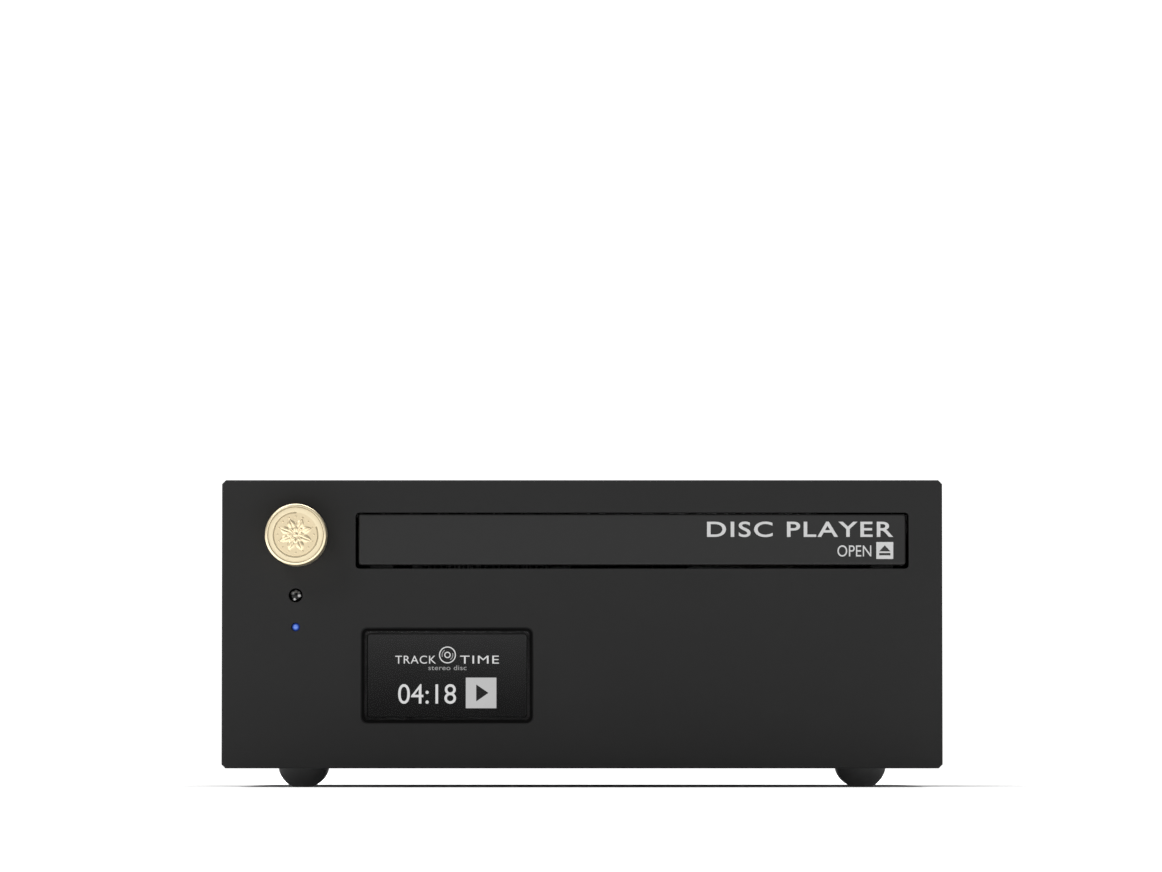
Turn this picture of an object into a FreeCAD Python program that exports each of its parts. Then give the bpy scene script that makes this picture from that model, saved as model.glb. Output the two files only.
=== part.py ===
"""A compact tray-loading CD player, 200 mm wide, as one parametric document.

The frame: +X right, +Y from the front panel to the rear, +Z up, and z = 0 is the surface that the feet
stand on. x = 0 is the middle of the case, and y = 0 is halfway from the knob's face to the jacks' ends.
All sizes are in millimetres. A sub-part's Label names its STEP file.
"""

import FreeCAD, Part
import math
import os

import Sketcher

PARTS = "parts"

# The driving dimensions, by assembly. A name ending in _x, _y or _z is a place in the frame.
DIMS = {
    # casing
    "panel_width": 200, "panel_height": 80, "panel_thick": 8, "panel_base_z": 5.2,
    "panel_corner": 1.1, "panel_edge": 0.35, "face_y": -118.5, "back_y": 121.5,
    "cover_width": 198, "cover_top_z": 84.2, "cover_base_z": 6.7, "cover_thick": 2.5,
    "cover_corner": 1.0, "rear_thick": 2, "base_thick": 2, "flange_thick": 1.5, "flange_top_z": 15.4,
    "sheet_gap": 0.2, "slack": 0.1,
    "vent_width": 3, "vent_length": 46, "vent_pitch": 8.4, "vent_count": 17, "vent_front_y": -62,
    "vent_rear_y": 66, "grille_width": 2.4, "grille_height": 9, "grille_count": 13, "grille_pitch": 5,
    "grille_z": 71,
    # feet and screws
    "foot_radius": 6.9, "foot_centre_z": 6.35, "foot_stem_radius": 1.9, "foot_stem_top_z": 10.5,
    "foot_front_x": 78.2, "foot_rear_x": 84.5, "foot_front_y": -97, "foot_rear_y": 100,
    "screw_radius": 1.45, "screw_hole_radius": 1.6, "screw_head_radius": 2.75, "screw_head_height": 1.6,
    "screw_socket_radius": 1.25, "screw_socket_depth": 1, "screw_pilot_radius": 1.5,
    "cover_screw_y": 88, "cover_screw_z": 11.6, "panel_screw_x": 66, "panel_screw_z": 11.6,
    "panel_screw_bite": 5, "rear_screw_x": 88,
    # display
    "display_left_x": -61.5, "display_width": 48.1, "display_base_z": 17.5, "display_height": 26.9,
    "display_bevel": 1.0, "display_corner": 0.9, "window_thick": 2.2, "window_sunk": 0.65,
    "module_margin": 1.4, "module_thick": 4.6, "module_pocket": 5,
    # front board
    "board_thick": 1.6, "front_board_y": -104.5, "front_board_left_x": -94, "front_board_right_x": -10,
    "front_board_step_x": -66, "front_board_base_z": 16, "front_board_step_z": 49,
    "front_board_top_z": 80, "spacer_radius": 2.5,
    # knob and encoder
    "knob_x": -79.1, "knob_z": 69.7, "knob_radius": 8.5, "knob_front_y": -130, "knob_rear_y": -119.3,
    "knob_edge": 0.45, "knob_rim": 0.75, "knob_recess": 0.9, "knob_hollow_radius": 6.9,
    "knob_hollow_depth": 3, "medal_thick": 1.3, "medal_petals": 8,
    "shaft_radius": 3, "shaft_front_y": -126.4, "running_gap": 0.05, "bushing_radius": 3.5,
    "bushing_front_y": -118, "nut_radius": 5.2, "nut_thick": 1.8, "nut_sink_radius": 6.3,
    "nut_sink_depth": 3, "encoder_size": 12.5, "encoder_depth": 5.8, "encoder_wall": 1,
    "rotor_radius": 4.4, "rotor_thick": 1, "plunger_radius": 2.4, "plunger_thick": 0.9,
    "press_travel": 0.5, "set_screw_radius": 1.4,
    # infrared eye and status lamp
    "eye_x": -79.5, "eye_z": 53.2, "eye_hole_radius": 1.95, "eye_radius": 1.8, "eye_sunk": 0.5, "eye_block": 5.6,
    "lamp_z": 44.4, "lamp_hole_radius": 1.2, "lamp_radius": 1.05, "lamp_sunk": 0.3, "lamp_flange": 1.6,
    # tray
    "tray_x": 13.9, "slot_width": 153.6, "slot_height": 15.6, "slot_base_z": 60.6, "slot_corner": 1.1,
    "bezel_width": 152, "bezel_height": 14.2, "bezel_base_z": 61.6, "bezel_thick": 4.3,
    "bezel_sunk": 0.3, "bezel_edge": 0.6, "tray_half": 66, "tray_top_z": 70.5, "tray_floor_z": 67,
    "tray_inner_floor_z": 65.8, "tray_under_z": 64.2, "tray_rear_y": 41, "tray_travel": 130,
    "disc_radius": 60.8, "small_disc_radius": 40.8, "hub_hole_radius": 17.5, "eye_slot_half": 17,
    "eye_slot_reach": 70, "tray_skirt": 2.2, "tray_flange": 3, "tray_flange_base_z": 66,
    "tray_flange_top_z": 68, "tray_front_thick": 2.4, "tray_front_half": 58,
    "disc_y": -50, "slide_gap": 0.3,
    # loader
    "deck_base_z": 52.5, "deck_top_z": 55, "loader_half": 73, "loader_front_y": -108,
    "loader_rear_y": 74, "rail_half": 66.6, "rail_top_z": 73, "well_half": 52, "well_front_y": -81,
    "well_rear_y": 68, "well_wall": 3, "well_base_z": 42, "well_lip": 5.4, "well_lip_thick": 2.4,
    "bridge_front_y": -63, "bridge_rear_y": -37, "bridge_thick": 1.2, "bridge_hole_radius": 12.2,
    "clamp_base_z": 71, "clamp_radius": 14.4, "clamp_neck_radius": 11.5, "clamp_flange_z": 74.5,
    "clamp_top_z": 76.7, "clamp_recess_radius": 9, "clamp_recess_z": 73.4,
    "cap_recess": 0.5, "post_radius": 4, "post_x": 63.5, "post_front_y": -89, "post_rear_y": 62,
    # lift
    "lift_travel": 9.2, "cam_ratio": 2, "cam_half": 50, "cam_thick": 2, "cam_base_z": 44.8,
    "cam_top_z": 60.6, "cam_front_y": -58.5, "cam_bar": 3, "cam_bar_top_z": 48,
    "pin_radius": 1.3, "pin_z": 48.2, "pin_front_y": -55, "pin_rear_y": 30, "pin_tip": 53.6,
    "pin_slot": 0.15,
    "carrier_half": 46, "carrier_base_z": 45.2, "carrier_top_z": 51.5, "carrier_front_y": -68,
    "carrier_rear_y": 42, "carrier_wall": 3, "carrier_end": 4, "ear_half": 32, "ear_length": 8,
    "plate_half": 42, "plate_front_y": -67, "plate_rear_y": 39, "plate_base_z": 53, "plate_thick": 1.2,
    "plate_open_half": 25, "plate_open_front_y": -36.6, "plate_open_rear_y": 32.6,
    "damper_x": 37.5, "damper_front_y": -60.5, "damper_rear_y": 33.5, "damper_radius": 3.6, "damper_cap": 0.4,
    # spindle and pickup
    "motor_radius": 12, "motor_base_z": 42.4, "spindle_radius": 1, "platter_radius": 15,
    "platter_base_z": 58.7, "platter_top_z": 60.7, "platter_hub_radius": 4, "cone_radius": 7.35,
    "cone_top_radius": 6.2, "cone_height": 2.5, "magnet_radius": 4.6, "magnet_depth": 1.2,
    "rod_radius": 1.5, "rod_z": 49.5, "rod_offset": 20, "holder_half": 3.2, "holder_length": 2.2,
    "pickup_front_y": -35, "pickup_rear_y": -9, "pickup_base_z": 46.6, "pickup_top_z": 52.4,
    "pickup_left": 24, "pickup_right": 23, "cover_half": 9, "lens_y": -27, "lens_well_radius": 5.4,
    "actuator_front_y": -34.2, "actuator_rear_y": -18, "actuator_top_z": 57.6, "lens_ring_radius": 4.6,
    "lens_ring_base_z": 56.2, "lens_ring_top_z": 57.9, "lens_radius": 2.4, "lens_rise": 0.7,
    "lens_travel": 0.5, "feed_travel": 35,
    # gears: every pair has stub teeth
    "gear_addendum": 0.8, "gear_dedendum": 1.15, "backlash": 0.14,
    "load_module": 0.8, "drive_teeth": 30, "pinion_teeth": 14, "rack_x": 59, "gear_y": -95,
    "gear_base_z": 59.6, "gear_top_z": 63.6, "axle_radius": 1.5, "axle_gap": 0.06,
    "pulley_radius": 13, "pulley_base_z": 55.5, "pulley_top_z": 58.7, "pulley_flange": 0.8,
    "groove_depth": 0.9, "motor_pulley_radius": 3, "motor_pulley_x": 38, "load_motor_radius": 7.5,
    "load_motor_base_z": 34, "belt_base_z": 56.6, "belt_top_z": 57.6, "belt_thick": 1,
    "belt_gap": 0.3,
    "feed_module": 0.5, "feed_teeth": 28, "feed_small_teeth": 16, "feed_pinion_teeth": 12,
    "feed_rack_offset": 30.6, "feed_gear_y": -4, "feed_rack_base_z": 49.5, "feed_rack_top_z": 51.4,
    "feed_gear_base_z": 46.3, "feed_gear_top_z": 48.2, "feed_motor_radius": 6.2,
    "feed_motor_base_z": 34.5, "feed_backlash": 0.1,
    # main board and power supply
    "main_board_left_x": -58, "main_board_right_x": 93, "main_board_front_y": -80,
    "main_board_rear_y": 112, "main_board_z": 15.6, "board_hole_radius": 5.2, "standoff_radius": 3,
    "core_x": -77.6, "core_width": 30, "core_front_y": -12, "core_rear_y": 42, "core_top_z": 54,
    "coil_margin": 2.2, "capacitor_radius": 6.2, "capacitor_height": 23,
    # rear connectors
    "inlet_x": -70, "inlet_z": 31, "inlet_width": 27.4, "inlet_height": 20, "inlet_flange": 2.4,
    "inlet_rim": 2.6, "inlet_depth": 17, "inlet_wall": 1.6, "inlet_back": 2,
    "switch_x": -70, "switch_z": 62, "switch_width": 13, "switch_height": 19, "switch_rim": 2,
    "switch_depth": 15, "rocker_half": 7.2, "rocker_width": 9.6, "rocker_pivot_y": 118.5,
    "rocker_tilt": 10,
    "phono_x": 2, "phono_high_z": 56, "phono_low_z": 34, "phono_radius": 4.15, "phono_bore": 1.65,
    "phono_inner_radius": 3.2, "phono_end_y": 130, "phono_depth": 12, "phono_nut_radius": 6,
    "phono_nut_thick": 2, "digital_x": -24,
    "balanced_left_x": 36, "balanced_right_x": 72, "balanced_z": 45, "balanced_flange_width": 26,
    "balanced_flange_height": 31, "balanced_flange": 1.6, "balanced_radius": 9.4,
    "balanced_shell": 1.2, "balanced_depth": 15, "balanced_disc": 4, "contact_radius": 1.2,
    "contact_circle": 4, "contact_length": 11.5, "balanced_screw_x": 9.5, "balanced_screw_z": 12,
    "optical_size": 10, "optical_wall": 1.6, "optical_depth": 12, "optical_proud": 0.8,
    "flap_thick": 0.7, "flap_pin_radius": 0.45,
    # inner ribbon
    "ribbon_width": 18, "ribbon_thick": 0.5, "ribbon_x": -34, "ribbon_z": 21.5, "ribbon_radius": 3,
}


class Size:
    """A length that knows its value and the spreadsheet formula that gives it."""

    def __init__(self, value, text):
        self.value = value
        self.text = text

    def __add__(self, other):
        return joined(self, "+", other)

    def __radd__(self, other):
        return joined(other, "+", self)

    def __sub__(self, other):
        return joined(self, "-", other)

    def __rsub__(self, other):
        return joined(other, "-", self)

    def __mul__(self, other):
        return joined(self, "*", other)

    def __rmul__(self, other):
        return joined(other, "*", self)

    def __truediv__(self, other):
        return joined(self, "/", other)

    def __neg__(self):
        return joined(0, "-", self)


def value(size):
    return size.value if isinstance(size, Size) else float(size)


def text(size):
    return size.text if isinstance(size, Size) else f"{float(size):.6f}"


def joined(left, sign, right):
    a, b = value(left), value(right)
    result = {"+": a + b, "-": a - b, "*": a * b, "/": a / b if b else 0}[sign]
    return Size(result, f"({text(left)} {sign} {text(right)})")


class Dimensions:
    """Gives each driving dimension by name, as a Size bound to its cell."""

    def __getattr__(self, name):
        return Size(float(DIMS[name]), f"dims.{name}")


doc = FreeCAD.newDocument("disc_player")
d = Dimensions()
nodes = []


def fill_sheet():
    sheet = doc.addObject("Spreadsheet::Sheet", "dims")
    for row, (name, number) in enumerate(DIMS.items(), start=1):
        sheet.set(f"A{row}", name)
        sheet.set(f"B{row}", str(number))
        sheet.setAlias(f"B{row}", name)
    doc.recompute()


# ---- primitives and booleans, each size and place bound to the sheet ----

def bind(made, **sizes):
    for name, size in sizes.items():
        made.setExpression(name.replace("__", "."), text(size))
    return made


def place(made, x, y, z):
    return bind(made, Placement__Base__x=x, Placement__Base__y=y, Placement__Base__z=z)


def block(x, y, z):
    """A box between two places on each axis."""
    made = doc.addObject("Part::Box", "block")
    bind(made, Length=x[1] - x[0], Width=y[1] - y[0], Height=z[1] - z[0])
    return place(made, x[0], y[0], z[0])


TURNS = {
    "X": FreeCAD.Rotation(FreeCAD.Vector(0, 1, 0), 90),
    "Y": FreeCAD.Rotation(FreeCAD.Vector(1, 0, 0), -90),
    "Z": FreeCAD.Rotation(),
}


def at_axis(made, axis, centre, start):
    """Stands a Z-built primitive along an axis, at centre on the other two axes, from start."""
    made.Placement = FreeCAD.Placement(FreeCAD.Vector(), TURNS[axis])
    u, v = centre
    return place(made, *{"X": (start, u, v), "Y": (u, start, v), "Z": (u, v, start)}[axis])


def rod(axis, centre, radius, span):
    """A round bar along an axis between two places on it."""
    made = doc.addObject("Part::Cylinder", "rod")
    bind(made, Radius=radius, Height=span[1] - span[0])
    return at_axis(made, axis, centre, span[0])


def taper(axis, centre, radii, span):
    made = doc.addObject("Part::Cone", "taper")
    bind(made, Radius1=radii[0], Radius2=radii[1], Height=span[1] - span[0])
    return at_axis(made, axis, centre, span[0])


def ball(centre, radius):
    made = doc.addObject("Part::Sphere", "ball")
    bind(made, Radius=radius)
    return place(made, *centre)


def fuse(*pieces):
    if len(pieces) == 1:
        return pieces[0]
    made = doc.addObject("Part::MultiFuse", "fuse")
    made.Shapes = list(pieces)
    return made


def cut(base, *tools):
    made = doc.addObject("Part::Cut", "cut")
    made.Base = base
    made.Tool = fuse(*tools)
    return made


def common(*pieces):
    made = doc.addObject("Part::MultiCommon", "common")
    made.Shapes = list(pieces)
    return made


def group(pieces):
    """Several separate solids that share one node."""
    made = doc.addObject("Part::Compound", "group")
    made.Links = list(pieces)
    return made


def node(label, made):
    made.Label = label
    nodes.append(made)
    return made


def ring(axis, centre, outer, inner, span):
    return cut(rod(axis, centre, outer, span), rod(axis, centre, inner, span))


def screw(axis, centre, seat, tip, head_radius=d.screw_head_radius, head=d.screw_head_height):
    """A socket-head screw whose head sits on seat and whose shank ends at tip."""
    forward = value(tip) > value(seat)
    top = seat - head if forward else seat + head
    floor = top + d.screw_socket_depth if forward else top - d.screw_socket_depth
    span = (lambda a, b: (a, b)) if forward else (lambda a, b: (b, a))
    shape = fuse(
        rod(axis, centre, head_radius, span(top, seat)),
        rod(axis, centre, d.screw_radius, span(seat, tip)),
    )
    return cut(shape, rod(axis, centre, d.screw_socket_radius, span(top, floor)))


def spread(size):
    """The two places a size to either side of zero."""
    return (-size, size)


def around(centre, size):
    return (centre - size, centre + size)


# ---- PartDesign bodies ----

def new_body(label):
    made = doc.addObject("PartDesign::Body", label)
    return node(label, made)


def datum(body, role):
    return next(f for f in body.Origin.OriginFeatures if f.Role == role)


def new_sketch(body, role, offset=0.0):
    """A sketch on one of the body's origin planes. On XZ the offset runs towards the front."""
    made = body.newObject("Sketcher::SketchObject", "sketch")
    made.AttachmentSupport = (datum(body, role), [""])
    made.MapMode = "FlatFace"
    made.setExpression("AttachmentOffset.Base.z", text(offset))
    return made


def limit(sketch, kind, *where):
    """A dimension in a sketch, bound to its size, which comes last."""
    index = sketch.addConstraint(Sketcher.Constraint(kind, *where[:-1], value(where[-1])))
    sketch.setExpression(f"Constraints[{index}]", text(where[-1]))


def outline(sketch, points):
    """A closed run of straight sides whose corners are each held from the sketch's origin."""
    first = sketch.GeometryCount
    count = len(points)
    spots = [FreeCAD.Vector(value(x), value(y), 0) for x, y in points]
    for i in range(count):
        sketch.addGeometry(Part.LineSegment(spots[i], spots[(i + 1) % count]))
    for i in range(count):
        sketch.addConstraint(
            Sketcher.Constraint("Coincident", first + i, 2, first + (i + 1) % count, 1))
    for i, (x, y) in enumerate(points):
        limit(sketch, "DistanceX", -1, 1, first + i, 1, x)
        limit(sketch, "DistanceY", -1, 1, first + i, 1, y)
    return sketch


def rectangle(sketch, x, y):
    return outline(sketch, [(x[0], y[0]), (x[1], y[0]), (x[1], y[1]), (x[0], y[1])])


def circle(sketch, x, y, radius):
    spot = FreeCAD.Vector(value(x), value(y), 0)
    drawn = sketch.addGeometry(Part.Circle(spot, FreeCAD.Vector(0, 0, 1), value(radius)))
    limit(sketch, "Radius", drawn, radius)
    limit(sketch, "DistanceX", -1, 1, drawn, 3, x)
    limit(sketch, "DistanceY", -1, 1, drawn, 3, y)
    return sketch


def pad(body, sketch, length, back=False):
    made = body.newObject("PartDesign::Pad", "pad")
    made.Profile = sketch
    made.Reversed = back
    bind(made, Length=length)
    return made


def pocket(body, sketch, length=None, back=False, both=False):
    """A cut against the sketch's normal, right through where no length is given."""
    doc.recompute()
    before = body.Shape.Volume
    made = body.newObject("PartDesign::Pocket", "pocket")
    made.Profile = sketch
    made.Reversed = back
    made.Midplane = both
    if length is None:
        made.Type = 1
    else:
        bind(made, Length=length)
    doc.recompute()
    if not body.Shape.Volume < before:
        raise RuntimeError(f"a pocket in {body.Label} cuts nothing")
    return made


def revolve(body, sketch, role="Z_Axis"):
    made = body.newObject("PartDesign::Revolution", "revolution")
    made.Profile = sketch
    made.ReferenceAxis = (datum(body, role), [""])
    made.Angle = 360
    return made


def dress(body, kind, size, wanted):
    """A Fillet or Chamfer on the edges that wanted picks by their two end points."""
    doc.recompute()
    tip = body.Tip
    names = [
        f"Edge{i}" for i, edge in enumerate(tip.Shape.Edges, start=1)
        if len(edge.Vertexes) == 2 and wanted(edge.Vertexes[0].Point, edge.Vertexes[1].Point)
    ]
    if not names:
        raise RuntimeError(f"{kind} on {body.Label} finds no edge")
    made = body.newObject(f"PartDesign::{kind}", kind.lower())
    made.Base = (tip, names)
    bind(made, **{"Radius" if kind == "Fillet" else "Size": size})
    return made


def pattern_round(body, feature, count):
    made = body.newObject("PartDesign::PolarPattern", "polar")
    made.Originals = [feature]
    made.Axis = (datum(body, "Z_Axis"), [""])
    made.Angle = 360
    bind(made, Occurrences=count)
    body.Tip = made
    return made


def pattern_line(body, feature, role, length, count):
    made = body.newObject("PartDesign::LinearPattern", "linear")
    made.Originals = [feature]
    made.Direction = (datum(body, role), [""])
    bind(made, Length=length, Occurrences=count)
    body.Tip = made
    return made


NEAR = 0.01


def same(a, b):
    return abs(a - value(b)) < NEAR


def along(axis):
    """Picks the edges that run along one axis."""
    def wanted(p, q):
        return all(abs(p[k] - q[k]) < NEAR for k in range(3) if k != axis) and (p - q).Length > NEAR
    return wanted


def inside(x, z):
    """Whether an edge lies within these spans of X and Z."""
    lo_x, hi_x, lo_z, hi_z = value(x[0]), value(x[1]), value(z[0]), value(z[1])

    def test(p, q):
        return all(
            lo_x - NEAR <= s.x <= hi_x + NEAR and lo_z - NEAR <= s.z <= hi_z + NEAR for s in (p, q))
    return test


# ---- places worked out from the driving dimensions ----

PANEL_BACK = d.face_y + d.panel_thick
REAR_INNER = d.back_y - d.rear_thick
COVER_HALF = d.cover_width / 2
INNER_HALF = COVER_HALF - d.cover_thick - d.sheet_gap
BASE_TOP = d.cover_base_z + d.base_thick
DISPLAY_X = (d.display_left_x, d.display_left_x + d.display_width)
DISPLAY_Z = (d.display_base_z, d.display_base_z + d.display_height)
OPEN_X = (DISPLAY_X[0] + d.display_bevel, DISPLAY_X[1] - d.display_bevel)
OPEN_Z = (DISPLAY_Z[0] + d.display_bevel, DISPLAY_Z[1] - d.display_bevel)
MODULE_X = (OPEN_X[0] - d.module_margin, OPEN_X[1] + d.module_margin)
MODULE_Z = (OPEN_Z[0] - d.module_margin, OPEN_Z[1] + d.module_margin)
SLOT_X = around(d.tray_x, d.slot_width / 2)
SLOT_Z = (d.slot_base_z, d.slot_base_z + d.slot_height)
BEZEL_BACK = d.face_y + d.bezel_sunk + d.bezel_thick
DRIVE_RADIUS = d.load_module * d.drive_teeth / 2
PINION_RADIUS = d.load_module * d.pinion_teeth / 2
DRIVE_X = d.tray_x - d.rack_x + DRIVE_RADIUS
PULLEY_X = DRIVE_X + DRIVE_RADIUS + PINION_RADIUS
MOTOR_X = PULLEY_X + d.motor_pulley_x
FEED_SMALL_RADIUS = d.feed_module * d.feed_small_teeth / 2
FEED_RADIUS = d.feed_module * d.feed_teeth / 2
FEED_PINION_RADIUS = d.feed_module * d.feed_pinion_teeth / 2
FEED_X = d.tray_x + d.feed_rack_offset + FEED_SMALL_RADIUS
FEED_PINION_Y = d.feed_gear_y + FEED_RADIUS + FEED_PINION_RADIUS
PLATE_TOP = d.plate_base_z + d.plate_thick
BOARD_TOP = d.main_board_z + d.board_thick
FRONT_BOARD_BACK = d.front_board_y + d.board_thick
FEET = [(side * x, y) for x, y in ((d.foot_front_x, d.foot_front_y), (d.foot_rear_x, d.foot_rear_y))
        for side in (-1, 1)]
POSTS = [(d.tray_x + side * d.post_x, y) for side in (-1, 1) for y in (d.post_front_y, d.post_rear_y)]
PHONO = [(d.phono_x, d.phono_high_z), (d.phono_x, d.phono_low_z), (d.digital_x, d.phono_high_z)]
BALANCED = [(d.balanced_left_x, d.balanced_z), (d.balanced_right_x, d.balanced_z)]
OPTICAL = (d.digital_x, d.phono_low_z)
FRONT_SPACERS = [(-90, 76.6), (-69.2, 76.6), (-90, 20), (-14, 45)]
MAIN_SPACERS = [(-52, -73), (86, -73), (-52, 98), (74, 104)]


# ---- casing ----

def front_panel():
    """A thick milled plate with the tray slot, the bevelled display opening and the control holes."""
    body = new_body("front_panel")
    half = d.panel_width / 2
    top = d.panel_base_z + d.panel_height
    profile = rectangle(new_sketch(body, "XZ_Plane", -PANEL_BACK), spread(half), (d.panel_base_z, top))
    pad(body, profile, d.panel_thick)
    dress(body, "Chamfer", d.panel_corner, along(1))
    dress(body, "Chamfer", d.panel_edge, lambda p, q: same(p.y, d.face_y) and same(q.y, d.face_y))
    slot = rectangle(new_sketch(body, "XZ_Plane", -d.face_y), SLOT_X, SLOT_Z)
    pocket(body, slot)
    within = inside(SLOT_X, SLOT_Z)
    dress(body, "Fillet", d.slot_corner, lambda p, q: along(1)(p, q) and within(p, q))
    window = rectangle(new_sketch(body, "XZ_Plane", -d.face_y), OPEN_X, OPEN_Z)
    pocket(body, window)
    framed = inside(OPEN_X, OPEN_Z)
    dress(body, "Fillet", d.display_corner, lambda p, q: along(1)(p, q) and framed(p, q))
    dress(body, "Chamfer", d.display_bevel,
          lambda p, q: same(p.y, d.face_y) and same(q.y, d.face_y) and framed(p, q))
    module = rectangle(new_sketch(body, "XZ_Plane", -PANEL_BACK), MODULE_X, MODULE_Z)
    pocket(body, module, d.module_pocket, back=True)
    holes = new_sketch(body, "XZ_Plane", -d.face_y)
    circle(holes, d.knob_x, d.knob_z, d.bushing_radius + d.slack)
    circle(holes, d.eye_x, d.eye_z, d.eye_hole_radius)
    circle(holes, d.eye_x, d.lamp_z, d.lamp_hole_radius)
    pocket(body, holes)
    sink = circle(new_sketch(body, "XZ_Plane", -d.face_y), d.knob_x, d.knob_z, d.nut_sink_radius)
    pocket(body, sink, d.nut_sink_depth)
    pilots = new_sketch(body, "XZ_Plane", -PANEL_BACK)
    for x in (-d.panel_screw_x, d.panel_screw_x):
        circle(pilots, x, d.panel_screw_z, d.screw_pilot_radius)
    pocket(body, pilots, d.panel_screw_bite + d.slack, back=True)


def chassis_base():
    """A folded pan: the floor and four low flanges, drilled for feet, posts and screws."""
    outside = block(spread(INNER_HALF), (PANEL_BACK, REAR_INNER), (d.cover_base_z, d.flange_top_z))
    hollow = block(spread(INNER_HALF - d.flange_thick),
                   (PANEL_BACK + d.flange_thick, REAR_INNER - d.flange_thick),
                   (BASE_TOP, d.flange_top_z))
    holes = [rod("Z", spot, d.foot_stem_radius + d.slack, (d.cover_base_z, BASE_TOP)) for spot in FEET]
    holes += [rod("Z", spot, d.screw_hole_radius, (d.cover_base_z, BASE_TOP)) for spot in POSTS]
    for y in (-d.cover_screw_y, d.cover_screw_y):
        holes.append(rod("X", (y, d.cover_screw_z), d.screw_pilot_radius, spread(COVER_HALF)))
    for x in (-d.panel_screw_x, d.panel_screw_x):
        spot = (x, d.panel_screw_z)
        holes.append(rod("Y", spot, d.screw_hole_radius, (PANEL_BACK, PANEL_BACK + d.flange_thick)))
    for x in (-d.rear_screw_x, d.rear_screw_x):
        spot = (x, d.cover_screw_z)
        holes.append(rod("Y", spot, d.screw_pilot_radius, (REAR_INNER - d.flange_thick, REAR_INNER)))
    node("chassis_base", cut(outside, hollow, *holes))


def top_cover():
    """One folded sheet, top and both sides, with two rows of vent slots."""
    body = new_body("top_cover")
    inner = COVER_HALF - d.cover_thick
    roof = d.cover_top_z - d.cover_thick
    half, foot, top = COVER_HALF, d.cover_base_z, d.cover_top_z
    profile = outline(new_sketch(body, "XZ_Plane", -d.back_y), [
        (-half, foot), (-inner, foot), (-inner, roof), (inner, roof),
        (inner, foot), (half, foot), (half, top), (-half, top)])
    pad(body, profile, d.back_y - PANEL_BACK)
    dress(body, "Chamfer", d.cover_corner,
          lambda p, q: along(1)(p, q) and same(p.z, top) and same(abs(p.x), half))
    reach = d.vent_pitch * (d.vent_count - 1)
    vents = new_sketch(body, "XY_Plane", d.cover_top_z)
    left = -reach / 2 - d.vent_width / 2
    for y in (d.vent_front_y, d.vent_rear_y):
        rectangle(vents, (left, left + d.vent_width), around(y, d.vent_length / 2))
    slots = pocket(body, vents, d.cover_thick + d.slack)
    pattern_line(body, slots, "X_Axis", reach, d.vent_count)
    holes = new_sketch(body, "YZ_Plane")
    sinks = new_sketch(body, "YZ_Plane", COVER_HALF)
    mirror_sinks = new_sketch(body, "YZ_Plane", -COVER_HALF)
    for y in (-d.cover_screw_y, d.cover_screw_y):
        circle(holes, y, d.cover_screw_z, d.screw_hole_radius)
        circle(sinks, y, d.cover_screw_z, d.screw_head_radius + d.slack)
        circle(mirror_sinks, y, d.cover_screw_z, d.screw_head_radius + d.slack)
    pocket(body, holes, d.cover_width, both=True)
    pocket(body, sinks, d.screw_head_height)
    pocket(body, mirror_sinks, d.screw_head_height, back=True)


def rear_panel():
    """A flat plate with a cut-out for each connector and a row of short vent slots."""
    body = new_body("rear_panel")
    profile = rectangle(new_sketch(body, "XZ_Plane", -d.back_y), spread(INNER_HALF),
                        (d.cover_base_z, d.cover_top_z - d.cover_thick - d.sheet_gap))
    pad(body, profile, d.rear_thick)
    openings = new_sketch(body, "XZ_Plane", -REAR_INNER)
    for x, z in PHONO:
        circle(openings, x, z, d.phono_radius + d.slack)
    for x, z in BALANCED:
        circle(openings, x, z, d.balanced_radius + d.balanced_shell + d.slack)
        for side in (-1, 1):
            circle(openings, x + side * d.balanced_screw_x, z + side * d.balanced_screw_z,
                   d.screw_hole_radius)
    for side in (-1, 1):
        circle(openings, side * d.rear_screw_x, d.cover_screw_z, d.screw_hole_radius)
    pocket(body, openings)
    ports = new_sketch(body, "XZ_Plane", -REAR_INNER)
    rectangle(ports, around(OPTICAL[0], d.optical_size / 2 + d.slack),
              around(OPTICAL[1], d.optical_size / 2 + d.slack))
    rectangle(ports, around(d.inlet_x, d.inlet_width / 2 + d.slack),
              around(d.inlet_z, d.inlet_height / 2 + d.slack))
    rectangle(ports, around(d.switch_x, d.switch_width / 2 + d.slack),
              around(d.switch_z, d.switch_height / 2 + d.slack))
    pocket(body, ports)
    left = d.grille_pitch * (1 - d.grille_count) / 2 + d.balanced_left_x
    slot = rectangle(new_sketch(body, "XZ_Plane", -REAR_INNER),
                     around(left, d.grille_width / 2), around(d.grille_z, d.grille_height / 2))
    first = pocket(body, slot, d.rear_thick + d.slack)
    pattern_line(body, first, "X_Axis", d.grille_pitch * (d.grille_count - 1), d.grille_count)


def feet():
    """Four rubber domes, each with a stem pushed through the floor."""
    made = []
    for x, y in FEET:
        dome = common(ball((x, y, d.foot_centre_z), d.foot_radius),
                      block(around(x, d.foot_radius), around(y, d.foot_radius), (0, d.cover_base_z)))
        made.append(fuse(dome, rod("Z", (x, y), d.foot_stem_radius, (d.cover_base_z, d.foot_stem_top_z))))
    node("feet", group(made))


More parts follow.
